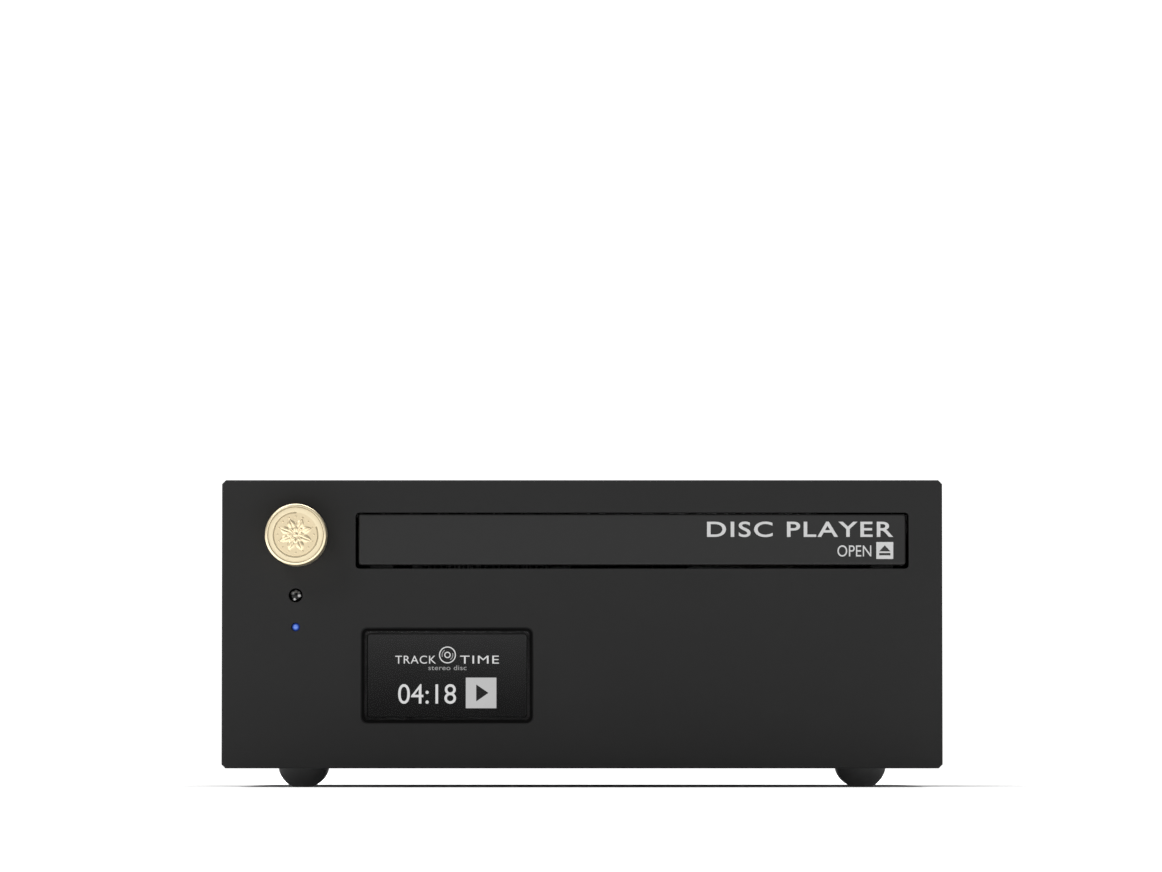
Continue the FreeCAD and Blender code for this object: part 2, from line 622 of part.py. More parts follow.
def case_screws():
    """The screws that hold the cover, the front panel and the rear panel to the floor pan."""
    made = []
    seat = COVER_HALF - d.screw_head_height
    for y in (-d.cover_screw_y, d.cover_screw_y):
        for side in (-1, 1):
            made.append(screw("X", (y, d.cover_screw_z), side * seat,
                              side * (INNER_HALF - d.flange_thick - d.screw_radius)))
    for side in (-1, 1):
        made.append(screw("Y", (side * d.panel_screw_x, d.panel_screw_z),
                          PANEL_BACK + d.flange_thick, PANEL_BACK - d.panel_screw_bite))
        made.append(screw("Y", (side * d.rear_screw_x, d.cover_screw_z), d.back_y,
                          REAR_INNER - d.flange_thick - d.screw_radius))
    for x, z in BALANCED:
        for side in (-1, 1):
            spot = (x + side * d.balanced_screw_x, z + side * d.balanced_screw_z)
            made.append(screw("Y", spot, d.back_y + d.balanced_flange, REAR_INNER - d.rear_thick,
                              head_radius=d.screw_head_radius * 0.9))
    node("case_screws", group(made))


# ---- display, front board and controls ----

def display():
    front = d.face_y + d.window_sunk
    body = new_body("display_window")
    play = d.slack
    profile = rectangle(new_sketch(body, "XZ_Plane", -(front + d.window_thick)),
                        (OPEN_X[0] + play, OPEN_X[1] - play), (OPEN_Z[0] + play, OPEN_Z[1] - play))
    pad(body, profile, d.window_thick)
    dress(body, "Fillet", d.display_corner, along(1))
    dress(body, "Chamfer", d.display_bevel / 4, lambda p, q: same(p.y, front) and same(q.y, front))
    glass_back = front + d.window_thick
    play = d.sheet_gap
    module_front = PANEL_BACK - d.module_pocket + play
    screen = block((OPEN_X[0] + d.display_bevel, OPEN_X[1] - d.display_bevel),
                   (glass_back + play, module_front),
                   (OPEN_Z[0] + d.display_bevel, OPEN_Z[1] - d.display_bevel))
    can = block((MODULE_X[0] + play, MODULE_X[1] - play),
                (module_front, module_front + d.module_thick),
                (MODULE_Z[0] + play, MODULE_Z[1] - play))
    node("display_module", fuse(screen, can))


def front_board():
    """An L of circuit board that stands behind the panel."""
    body = new_body("front_board")
    left, right, step = d.front_board_left_x, d.front_board_right_x, d.front_board_step_x
    low, mid, top = d.front_board_base_z, d.front_board_step_z, d.front_board_top_z
    pad(body, outline(new_sketch(body, "XZ_Plane", -FRONT_BOARD_BACK), [
        (left, low), (right, low), (right, mid), (step, mid), (step, top), (left, top)]), d.board_thick)
    holes = new_sketch(body, "XZ_Plane", -d.front_board_y)
    for x, z in FRONT_SPACERS:
        circle(holes, x, z, d.screw_hole_radius)
    pocket(body, holes)


def spacers():
    """Round pillars: behind the panel for its board, under the main board, and under the loader."""
    made = [ring("Y", spot, d.spacer_radius, d.screw_hole_radius, (PANEL_BACK, d.front_board_y))
            for spot in FRONT_SPACERS]
    made += [ring("Z", spot, d.standoff_radius, d.screw_hole_radius, (BASE_TOP, d.main_board_z))
             for spot in MAIN_SPACERS]
    made += [ring("Z", spot, d.post_radius, d.screw_hole_radius, (BASE_TOP, d.deck_base_z))
             for spot in POSTS]
    node("spacers", group(made))


def eye_and_lamp():
    """The infrared receiver with its domed eye, and the status lamp, both on the front board."""
    spot = (d.eye_x, d.eye_z)
    tip = d.face_y + d.eye_sunk
    stalk = rod("Y", spot, d.eye_radius, (tip + d.eye_radius, d.front_board_y))
    dome = common(ball((d.eye_x, tip + d.eye_radius, d.eye_z), d.eye_radius),
                  rod("Y", spot, d.eye_radius, (tip, tip + d.eye_radius)))
    block_depth = (PANEL_BACK + d.slack, d.front_board_y)
    case = block(around(d.eye_x, d.eye_block / 2), block_depth, around(d.eye_z, d.eye_block / 2))
    node("ir_receiver", fuse(stalk, dome, case))
    spot = (d.eye_x, d.lamp_z)
    tip = d.face_y + d.lamp_sunk
    stalk = rod("Y", spot, d.lamp_radius, (tip + d.lamp_radius, d.front_board_y))
    dome = common(ball((d.eye_x, tip + d.lamp_radius, d.lamp_z), d.lamp_radius),
                  rod("Y", spot, d.lamp_radius, (tip, tip + d.lamp_radius)))
    collar = rod("Y", spot, d.lamp_flange, (PANEL_BACK + d.slack, d.front_board_y))
    node("status_lamp", fuse(stalk, dome, collar))


def encoder():
    """A push encoder: its case and bushing stay, the shaft turns and presses a plunger."""
    spot = (d.knob_x, d.knob_z)
    front = d.front_board_y - d.encoder_depth
    half = d.encoder_size / 2
    case = fuse(
        block(around(d.knob_x, half), (front, d.front_board_y), around(d.knob_z, half)),
        rod("Y", spot, d.bushing_radius, (d.bushing_front_y, front)))
    hollow_front = front + d.encoder_wall
    cavity = rod("Y", spot, d.rotor_radius + d.encoder_wall, (hollow_front, d.front_board_y - d.encoder_wall))
    bore = rod("Y", spot, d.shaft_radius + d.running_gap, (d.bushing_front_y, hollow_front))
    node("encoder_body", cut(case, cavity, bore))

    seat = d.face_y + d.nut_sink_depth
    body = new_body("encoder_nut")
    hexagon = [(d.knob_x + d.nut_radius * math.cos(math.radians(a)),
                d.knob_z + d.nut_radius * math.sin(math.radians(a))) for a in range(0, 360, 60)]
    nut = outline(new_sketch(body, "XZ_Plane", -seat), hexagon)
    circle(nut, d.knob_x, d.knob_z, d.bushing_radius)
    pad(body, nut, d.nut_thick)

    rotor_front = hollow_front + d.slack
    rotor_back = rotor_front + d.rotor_thick
    plunger_back = rotor_back + d.slack + d.plunger_thick
    node("encoder_shaft", fuse(
        rod("Y", spot, d.shaft_radius, (d.shaft_front_y, rotor_front)),
        rod("Y", spot, d.rotor_radius, (rotor_front, rotor_back))))
    node("press_plunger", rod("Y", spot, d.plunger_radius, (rotor_back + d.slack, plunger_back)))


def knob():
    """A turned cap with a rim round an ornamental disc, hollow behind for the nut."""
    body = new_body("knob")
    length = d.knob_rear_y - d.knob_front_y
    radius, edge = d.knob_radius, d.knob_edge
    disc = radius - d.knob_rim
    floor = length - d.knob_recess - d.medal_thick + d.knob_recess
    bore = d.shaft_radius + d.running_gap
    bore_end = d.knob_rear_y - d.shaft_front_y
    half_profile = [
        (bore, d.knob_hollow_depth), (d.knob_hollow_radius, d.knob_hollow_depth),
        (d.knob_hollow_radius, 0), (radius - edge / 2, 0), (radius, edge / 2),
        (radius, length - edge), (radius - edge, length), (disc, length),
        (disc, floor), (0, floor), (0, bore_end), (bore, bore_end)]
    revolve(body, outline(new_sketch(body, "XZ_Plane"), half_profile))
    reach = d.knob_hollow_depth + (bore_end - d.knob_hollow_depth) / 2
    hole = circle(new_sketch(body, "YZ_Plane"), 0, reach, d.set_screw_radius)
    pocket(body, hole, radius + edge, back=True)
    turned = FreeCAD.Rotation(FreeCAD.Vector(1, 0, 0), 90)
    body.Placement = FreeCAD.Placement(FreeCAD.Vector(), turned)
    place(body, d.knob_x, d.knob_rear_y, d.knob_z)

    medal = new_body("knob_medal")
    back = d.knob_front_y + d.medal_thick
    play = d.running_gap
    outer = circle(new_sketch(medal, "XY_Plane"), 0, 0, disc - play)
    pad(medal, outer, d.medal_thick - d.knob_recess / 2)
    rim = circle(new_sketch(medal, "XY_Plane"), 0, 0, disc - play)
    circle(rim, 0, 0, disc * 0.84)
    pad(medal, rim, d.medal_thick)
    petal = circle(new_sketch(medal, "XY_Plane"), disc * 0.44, 0, disc * 0.2)
    first = pad(medal, petal, d.medal_thick - d.knob_recess / 4)
    pattern_round(medal, first, d.medal_petals)
    boss = circle(new_sketch(medal, "XY_Plane"), 0, 0, disc * 0.3)
    pad(medal, boss, d.medal_thick - d.knob_recess / 5)
    medal.Placement = FreeCAD.Placement(FreeCAD.Vector(), turned)
    place(medal, d.knob_x, back, d.knob_z)

    screw_y = d.knob_rear_y - reach
    grub = rod("X", (screw_y, d.knob_z), d.set_screw_radius - play,
               (d.knob_x + bore + play, d.knob_x + radius - edge))
    socket = rod("X", (screw_y, d.knob_z), d.set_screw_radius / 2,
                 (d.knob_x + radius - d.screw_socket_depth - edge, d.knob_x + radius - edge))
    node("knob_set_screw", cut(grub, socket))


# ---- gears ----

def tooth_profile(module, teeth, backlash):
    """One stub tooth on the +X axis: involute flanks taken at three radii, closed inside the root."""
    pressure = math.radians(20)
    pitch = module * teeth / 2
    base = pitch * math.cos(pressure)
    root = pitch - module * DIMS["gear_dedendum"]
    tip = pitch + module * DIMS["gear_addendum"]

    def involute(angle):
        return math.tan(angle) - angle

    def half_angle(radius):
        lean = math.acos(min(1.0, base / radius))
        return math.pi / (2 * teeth) - backlash / (4 * pitch) + involute(pressure) - involute(lean)

    radii = [root - module / 4, max(root, base), pitch, tip]
    angles = [half_angle(max(r, base)) for r in radii]
    right = [(r * math.cos(a), -r * math.sin(a)) for r, a in zip(radii, angles)]
    left = [(x, -y) for x, y in reversed(right)]
    return root, right + left


def gear_ring(body, module, teeth, backlash, base, thick):
    """A toothed disc in a body: the root disc, one tooth, and the tooth's polar pattern."""
    root, points = tooth_profile(value(module), int(value(teeth)), value(backlash))
    pad(body, circle(new_sketch(body, "XY_Plane", base), 0, 0, root), thick)
    tooth = pad(body, outline(new_sketch(body, "XY_Plane", base), points), thick)
    pattern_round(body, tooth, teeth)


def disc_on(body, radius, base, thick):
    pad(body, circle(new_sketch(body, "XY_Plane", base), 0, 0, radius), thick)


def bore_through(body, radius, base):
    hole = circle(new_sketch(body, "XY_Plane", base), 0, 0, radius)
    pocket(body, hole, back=True)


def stand(body, x, y, turn=0.0):
    """Puts a body built on its own axis at its place, turned so that its teeth mesh."""
    body.Placement = FreeCAD.Placement(
        FreeCAD.Vector(), FreeCAD.Rotation(FreeCAD.Vector(0, 0, 1), turn))
    place(body, x, y, 0)


def add_rack(body, line, start, count, module, backlash, base, thick):
    """A row of rack teeth along +Y that point to +X: one tooth, and its pattern."""
    pitch = math.pi * value(module)
    lean = math.tan(math.radians(20))
    tip = value(module) * DIMS["gear_addendum"]
    root = -value(module) * DIMS["gear_dedendum"]
    half = pitch / 4 - value(backlash) / 4
    side = [(root - value(module) / 2, half - root * lean), (root, half - root * lean),
            (tip, half - tip * lean)]
    middle = start + pitch / 2
    points = [(line + x, middle - y) for x, y in side] + [(line + x, middle + y) for x, y in reversed(side)]
    tooth = pad(body, outline(new_sketch(body, "XY_Plane", base), points), thick)
    pattern_line(body, tooth, "Y_Axis", pitch * (count - 1), count)


# ---- the disc tray ----

def tray():
    """The drawer: a plate with two disc recesses, an opening for the lens, side flanges and a rack."""
    body = new_body("tray")
    half = d.tray_half
    x = around(d.tray_x, half)
    rear = d.tray_rear_y
    floor = rectangle(new_sketch(body, "XY_Plane", d.tray_under_z), x, (BEZEL_BACK, rear))
    pad(body, floor, d.tray_top_z - d.tray_under_z)
    skirt = new_sketch(body, "XY_Plane", d.tray_under_z)
    for side in (0, 1):
        edge = x[side]
        span = (edge, edge + d.tray_skirt) if side == 0 else (edge - d.tray_skirt, edge)
        rectangle(skirt, span, (BEZEL_BACK, rear))
    pad(body, skirt, d.tray_under_z - d.bezel_base_z - d.slide_gap, back=True)
    flange_x = around(d.tray_x, half + d.tray_flange)
    flange = rectangle(new_sketch(body, "XY_Plane", d.tray_flange_base_z), flange_x,
                       (d.loader_front_y, rear))
    pad(body, flange, d.tray_flange_top_z - d.tray_flange_base_z)
    front = rectangle(new_sketch(body, "XY_Plane", d.bezel_base_z + d.bezel_edge),
                      around(d.tray_x, d.tray_front_half), (BEZEL_BACK, BEZEL_BACK + d.tray_front_thick))
    pad(body, front, d.bezel_height - 2 * d.bezel_edge)
    for radius, level in ((d.disc_radius, d.tray_floor_z), (d.small_disc_radius, d.tray_inner_floor_z)):
        well = circle(new_sketch(body, "XY_Plane", d.tray_top_z), d.tray_x, d.disc_y, radius)
        pocket(body, well, d.tray_top_z - level)
    pocket(body, circle(new_sketch(body, "XY_Plane", d.tray_top_z), d.tray_x, d.disc_y,
                        d.hub_hole_radius))
    slot = rectangle(new_sketch(body, "XY_Plane", d.tray_top_z), around(d.tray_x, d.eye_slot_half),
                     (d.disc_y, d.disc_y + d.eye_slot_reach))
    pocket(body, slot)
    grips = new_sketch(body, "XY_Plane", d.tray_top_z)
    grip = d.hub_hole_radius / 2
    for side in (-1, 1):
        rectangle(grips, around(d.tray_x + side * (d.disc_radius - grip / 4), grip / 2),
                  around(d.disc_y, grip))
    pocket(body, grips, d.tray_top_z - d.tray_inner_floor_z)
    pitch = math.pi * value(d.load_module)
    lead = 3
    start = d.gear_y - lead * pitch
    count = int((value(rear) - value(start)) / pitch)
    line = d.tray_x - d.rack_x
    base = d.slot_base_z + d.slide_gap
    spine = rectangle(new_sketch(body, "XY_Plane", d.tray_under_z),
                      (line - 3 * d.load_module, line - d.load_module), (start, start + count * pitch))
    pad(body, spine, d.tray_under_z - base, back=True)
    add_rack(body, line, start, count, d.load_module, d.backlash, base, d.tray_under_z - base)


def tray_front():
    """The tray's face, a bar with softened edges, bonded to the tray."""
    body = new_body("tray_front")
    profile = rectangle(new_sketch(body, "XZ_Plane", -BEZEL_BACK),
                        around(d.tray_x, d.bezel_width / 2),
                        (d.bezel_base_z, d.bezel_base_z + d.bezel_height))
    pad(body, profile, d.bezel_thick)
    dress(body, "Fillet", d.bezel_edge * 1.5, along(1))
    front = d.face_y + d.bezel_sunk
    dress(body, "Fillet", d.bezel_edge, lambda p, q: same(p.y, front) and same(q.y, front))


# ---- the loader ----

def loader_frame():
    """The mechanism's main moulding: a deck with grooved side rails, round a well for the lift."""
    x = around(d.tray_x, d.loader_half)
    y = (d.loader_front_y, d.loader_rear_y)
    deck = block(x, y, (d.deck_base_z, d.deck_top_z))
    well_y = (d.well_front_y, d.well_rear_y)
    wall = d.well_wall
    skirt = block(around(d.tray_x, d.well_half + wall), (well_y[0] - wall, well_y[1] + wall),
                  (d.well_base_z, d.deck_base_z))
    solids = [deck, skirt]
    for side in (-1, 1):
        outer, inner = d.tray_x + side * d.loader_half, d.tray_x + side * d.rail_half
        span = (outer, inner) if side < 0 else (inner, outer)
        solids.append(block(span, y, (d.deck_top_z, d.rail_top_z)))
    groove = block(around(d.tray_x, d.tray_half + d.tray_flange + d.slide_gap), y,
                   (d.tray_flange_base_z - d.slide_gap, d.tray_flange_top_z + d.slide_gap))
    well = block(around(d.tray_x, d.well_half), well_y, (d.well_base_z + d.well_lip_thick, d.deck_top_z))
    inner_y = (well_y[0] + d.well_lip, well_y[1] - wall)
    mouth = block(around(d.tray_x, d.well_half - d.well_lip), inner_y, (d.well_base_z, d.deck_top_z))
    guides = []
    for pin_y in (d.pin_front_y, d.pin_rear_y):
        guides.append(block(around(d.tray_x, d.well_half + wall),
                            around(pin_y, d.pin_radius + d.pin_slot),
                            (d.pin_z - d.pin_radius - d.slide_gap, d.deck_top_z)))
    bosses = [rod("Z", spot, d.screw_pilot_radius, (d.deck_base_z, d.deck_top_z)) for spot in POSTS]
    motor_hole = rod("Z", (MOTOR_X, d.gear_y), d.load_motor_radius / 2, (d.deck_base_z, d.deck_top_z))
    bridge_holes = [rod("Z", spot, d.screw_pilot_radius, (d.tray_flange_top_z, d.rail_top_z))
                    for spot in bridge_screws()]
    body = cut(fuse(*solids), groove, well, mouth, *guides, *bosses, motor_hole, *bridge_holes)
    axles = [rod("Z", (DRIVE_X, d.gear_y), d.axle_radius, (d.deck_top_z, d.gear_top_z - d.slide_gap)),
             rod("Z", (PULLEY_X, d.gear_y), d.axle_radius, (d.deck_top_z, d.gear_top_z - d.slide_gap))]
    node("loader_frame", fuse(body, *axles))


def bridge_screws():
    middle = (d.bridge_front_y + d.bridge_rear_y) / 2
    offset = (d.rail_half + d.loader_half) / 2
    return [(d.tray_x - offset, middle), (d.tray_x + offset, middle)]


def clamp():
    """A steel bridge over the tray, and the clamp that hangs in it and turns with the disc."""
    spot = (d.tray_x, d.disc_y)
    z = (d.rail_top_z, d.rail_top_z + d.bridge_thick)
    strap = block(around(d.tray_x, d.loader_half), (d.bridge_front_y, d.bridge_rear_y), z)
    widening = rod("Z", spot, d.bridge_hole_radius * 1.6, z)
    holes = [rod("Z", s, d.screw_hole_radius, z) for s in bridge_screws()]
    node("clamp_bridge", cut(fuse(strap, widening), rod("Z", spot, d.bridge_hole_radius, z), *holes))
    puck = fuse(rod("Z", spot, d.clamp_radius, (d.clamp_base_z, z[0] - d.slide_gap)),
                rod("Z", spot, d.clamp_neck_radius, (z[0] - d.slide_gap, d.clamp_flange_z)))
    recess = rod("Z", spot, d.clamp_recess_radius, (d.clamp_base_z, d.clamp_recess_z))
    node("clamp_puck", cut(puck, recess))
    cap = rod("Z", spot, d.clamp_radius, (d.clamp_flange_z, d.clamp_top_z))
    dish = rod("Z", spot, d.clamp_neck_radius, (d.clamp_top_z - d.cap_recess, d.clamp_top_z))
    node("clamp_cap", cut(cap, dish))


def inner_screws():
    """Screws that hold the loader, its bridge and the boards."""
    bite = 2 * d.screw_head_height
    made = [screw("Z", spot, d.deck_top_z, d.deck_base_z - bite) for spot in POSTS]
    made += [screw("Z", spot, d.rail_top_z + d.bridge_thick, d.rail_top_z - bite / 2)
             for spot in bridge_screws()]
    made += [screw("Y", spot, FRONT_BOARD_BACK, d.front_board_y - bite) for spot in FRONT_SPACERS]
    made += [screw("Z", spot, BOARD_TOP, d.main_board_z - bite) for spot in MAIN_SPACERS]
    node("inner_screws", group(made))


def pulley_tier(body, radius):
    """Two flanges and a groove for the belt."""
    low, high = d.pulley_base_z, d.pulley_top_z
    disc_on(body, radius + d.pulley_flange, low, d.pulley_flange)
    disc_on(body, radius - d.groove_depth, low, high - low)
    disc_on(body, radius + d.pulley_flange, high - d.pulley_flange, d.pulley_flange)


def loading_drive():
    """Motor, belt, pulley and gears that run the tray's rack."""
    thick = d.gear_top_z - d.gear_base_z
    drive = new_body("drive_gear")
    gear_ring(drive, d.load_module, d.drive_teeth, d.backlash, d.gear_base_z, thick)
    disc_on(drive, d.axle_radius * 2.4, d.deck_top_z + d.slide_gap, d.gear_base_z - d.deck_top_z)
    bore_through(drive, d.axle_radius + d.axle_gap, d.deck_top_z)
    stand(drive, DRIVE_X, d.gear_y)

    pinion = new_body("pulley_gear")
    gear_ring(pinion, d.load_module, d.pinion_teeth, d.backlash, d.gear_base_z, thick)
    disc_on(pinion, d.axle_radius * 2.4, d.deck_top_z + d.slide_gap, d.gear_base_z - d.deck_top_z)
    pulley_tier(pinion, d.pulley_radius - d.pulley_flange)
    bore_through(pinion, d.axle_radius + d.axle_gap, d.deck_top_z)
    half_pitch = 180 / int(value(d.pinion_teeth))
    stand(pinion, PULLEY_X, d.gear_y, 180 + half_pitch)

    spot = (MOTOR_X, d.gear_y)
    can = rod("Z", spot, d.load_motor_radius, (d.load_motor_base_z, d.deck_base_z))
    nose = rod("Z", spot, d.load_motor_radius / 2 - d.slack, (d.deck_base_z, d.deck_top_z))
    node("loading_motor", cut(fuse(can, nose),
                              rod("Z", spot, d.spindle_radius + d.axle_gap, (d.deck_base_z, d.deck_top_z))))
    small = new_body("motor_pulley")
    pulley_tier(small, d.motor_pulley_radius)
    disc_on(small, d.spindle_radius, d.deck_base_z + d.slide_gap, d.pulley_base_z - d.deck_base_z)
    stand(small, MOTOR_X, d.gear_y)


def drive_belt():
    """A belt on both pulleys: two arcs joined by the tangents between them."""
    groove = d.groove_depth - d.belt_gap
    big = value(d.pulley_radius - d.pulley_flange - groove)
    small = value(d.motor_pulley_radius - groove)
    reach = value(d.motor_pulley_x)
    thick = value(d.belt_thick)

    def loop(grow):
        """The outline of a belt path that stands off both pulleys by grow."""
        a, b = big + grow, small + grow
        lean = math.acos((a - b) / reach)
        c, s = math.cos(lean), math.sin(lean)
        up = [FreeCAD.Vector(a * c, a * s, 0), FreeCAD.Vector(reach + b * c, b * s, 0)]
        down = [FreeCAD.Vector(p.x, -p.y, 0) for p in up]
        return Part.Wire([
            Part.LineSegment(up[0], up[1]).toShape(),
            Part.Arc(up[1], FreeCAD.Vector(reach + b, 0, 0), down[1]).toShape(),
            Part.LineSegment(down[1], down[0]).toShape(),
            Part.Arc(down[0], FreeCAD.Vector(-a, 0, 0), up[0]).toShape()])

    band = Part.Face(loop(thick)).cut(Part.Face(loop(0)))
    made = doc.addObject("Part::Feature", "belt")
    made.Shape = band.extrude(FreeCAD.Vector(0, 0, value(d.belt_top_z - d.belt_base_z)))
    place(made, PULLEY_X, d.gear_y, d.belt_base_z)
    node("drive_belt", made)


# ---- the lift and the traverse ----

def cam_slot(x, pin_y):
    """The slanted slot that one pin rides in, cut through a cam rail."""
    radius = d.pin_radius + d.pin_slot
    travel = d.lift_travel * d.cam_ratio
    ends = [rod("X", (pin_y, d.pin_z), radius, x),
            rod("X", (pin_y + travel, d.pin_z + d.lift_travel), radius, x)]
    rise, run = value(d.lift_travel), value(travel)
    bar = doc.addObject("Part::Box", "slot_run")
    bind(bar, Length=x[1] - x[0], Width=math.hypot(rise, run), Height=2 * radius)
    slope = math.degrees(math.atan2(rise, run))
    bar.Placement = FreeCAD.Placement(
        FreeCAD.Vector(), FreeCAD.Rotation(FreeCAD.Vector(1, 0, 0), slope))
    lean = math.radians(slope)
    place(bar, x[0], pin_y + radius * math.sin(lean), d.pin_z - radius * math.cos(lean))
    return fuse(bar, *ends)


def lift():
    """The carrier that rises with the optics, and the cam slide whose sloped slots raise it."""
    travel = d.lift_travel * d.cam_ratio
    rear = d.pin_rear_y + travel + d.pin_radius + d.well_wall * 4
    pieces, slots = [], []
    for side in (-1, 1):
        inner, outer = side * (d.cam_half - d.cam_thick), side * d.cam_half
        x = (d.tray_x + outer, d.tray_x + inner) if side < 0 else (d.tray_x + inner, d.tray_x + outer)
        pieces.append(block(x, (d.cam_front_y, rear), (d.cam_base_z, d.cam_top_z)))
        slots += [cam_slot(x, y) for y in (d.pin_front_y, d.pin_rear_y)]
    pieces.append(block(around(d.tray_x, d.cam_half), (rear - d.cam_bar, rear), (d.cam_base_z, d.cam_bar_top_z)))
    node("lift_cam", cut(fuse(*pieces), *slots))

    z = (d.carrier_base_z, d.carrier_top_z)
    outer = block(around(d.tray_x, d.carrier_half), (d.carrier_front_y, d.carrier_rear_y), z)
    wide = block(around(d.tray_x, d.carrier_half - d.carrier_wall),
                 (d.carrier_front_y + d.carrier_end + d.ear_length, d.carrier_rear_y - d.carrier_end - d.ear_length), z)
    narrow = block(around(d.tray_x, d.ear_half),
                   (d.carrier_front_y + d.carrier_end, d.carrier_rear_y - d.carrier_end), z)
    pins = [rod("X", (y, d.pin_z), d.pin_radius, span)
            for y in (d.pin_front_y, d.pin_rear_y)
            for span in ((d.tray_x - d.pin_tip, d.tray_x - d.carrier_half),
                         (d.tray_x + d.carrier_half, d.tray_x + d.pin_tip))]
    studs = [rod("Z", spot, d.damper_radius / 2, (d.carrier_top_z, PLATE_TOP + d.damper_cap))
             for spot in damper_spots()]
    node("lift_carrier", fuse(cut(outer, wide, narrow), *pins, *studs))


def damper_spots():
    return [(d.tray_x + side * d.damper_x, y) for side in (-1, 1)
            for y in (d.damper_front_y, d.damper_rear_y)]


def traverse():
    """The steel plate on four rubber dampers that holds the spindle motor, rods and feed drive."""
    z = (d.plate_base_z, PLATE_TOP)
    plate = block(around(d.tray_x, d.plate_half), (d.plate_front_y, d.plate_rear_y), z)
    opening = block(around(d.tray_x, d.plate_open_half), (d.plate_open_front_y, d.plate_open_rear_y), z)
    spot = (d.tray_x, d.disc_y)
    holes = [rod("Z", s, d.damper_radius, z) for s in damper_spots()]
    hub_hole = rod("Z", spot, d.platter_hub_radius + d.slide_gap, z)
    holders = []
    for side in (-1, 1):
        x = d.tray_x + side * d.rod_offset
        for y in ((d.plate_open_front_y - d.holder_length, d.plate_open_front_y),
                  (d.plate_open_rear_y, d.plate_open_rear_y + d.holder_length)):
            holders.append(block(around(x, d.holder_half), y, (d.rod_z - d.holder_half, d.plate_base_z)))
    rods = guide_rods()
    axle = rod("Z", (FEED_X, d.feed_gear_y), d.spindle_radius, (d.feed_gear_base_z, d.plate_base_z))
    node("traverse_plate", cut(fuse(plate, *holders, axle), opening, hub_hole, *holes, *rods))
    node("guide_rods", group(guide_rods()))
    dampers = []
    for s in damper_spots():
        pad_z = (d.carrier_top_z, d.plate_base_z)
        top_z = (PLATE_TOP, PLATE_TOP + d.damper_cap)
        solid = fuse(rod("Z", s, d.damper_radius * 1.2, pad_z), rod("Z", s, d.damper_radius, z),
                     rod("Z", s, d.damper_radius * 1.2, top_z))
        dampers.append(cut(solid, rod("Z", s, d.damper_radius / 2, (pad_z[0], top_z[1]))))
    node("dampers", group(dampers))
    can = rod("Z", spot, d.motor_radius, (d.motor_base_z, d.plate_base_z))
    bore = rod("Z", spot, d.spindle_radius + d.axle_gap, (d.motor_base_z + d.base_thick, d.plate_base_z))
    node("spindle_motor", cut(can, bore))


def guide_rods():
    ends = (d.plate_open_front_y - d.holder_length, d.plate_open_rear_y + d.holder_length)
    return [rod("Y", (d.tray_x + side * d.rod_offset, d.rod_z), d.rod_radius, ends) for side in (-1, 1)]


def turntable():
    """The platter that carries the disc's hub, on its spindle, with a magnet in its cone."""
    body = new_body("turntable")
    base, top = d.platter_base_z, d.platter_top_z
    spindle_foot = d.motor_base_z + d.base_thick + d.slack
    profile = [
        (0, spindle_foot), (d.spindle_radius, spindle_foot), (d.spindle_radius, PLATE_TOP - d.plate_thick),
        (d.platter_hub_radius, PLATE_TOP - d.plate_thick + d.slack), (d.platter_hub_radius, base),
        (d.platter_radius, base), (d.platter_radius, top), (d.cone_radius, top),
        (d.cone_top_radius, top + d.cone_height), (d.magnet_radius, top + d.cone_height),
        (d.magnet_radius, top + d.cone_height - d.magnet_depth),
        (0, top + d.cone_height - d.magnet_depth)]
    revolve(body, outline(new_sketch(body, "XZ_Plane"), profile))
    place(body, d.tray_x, d.disc_y, 0)
    node("turntable_magnet", ring("Z", (d.tray_x, d.disc_y), d.magnet_radius - d.running_gap,
                                  d.spindle_radius * 2,
                                  (top + d.cone_height - d.magnet_depth, top + d.cone_height - d.slack)))


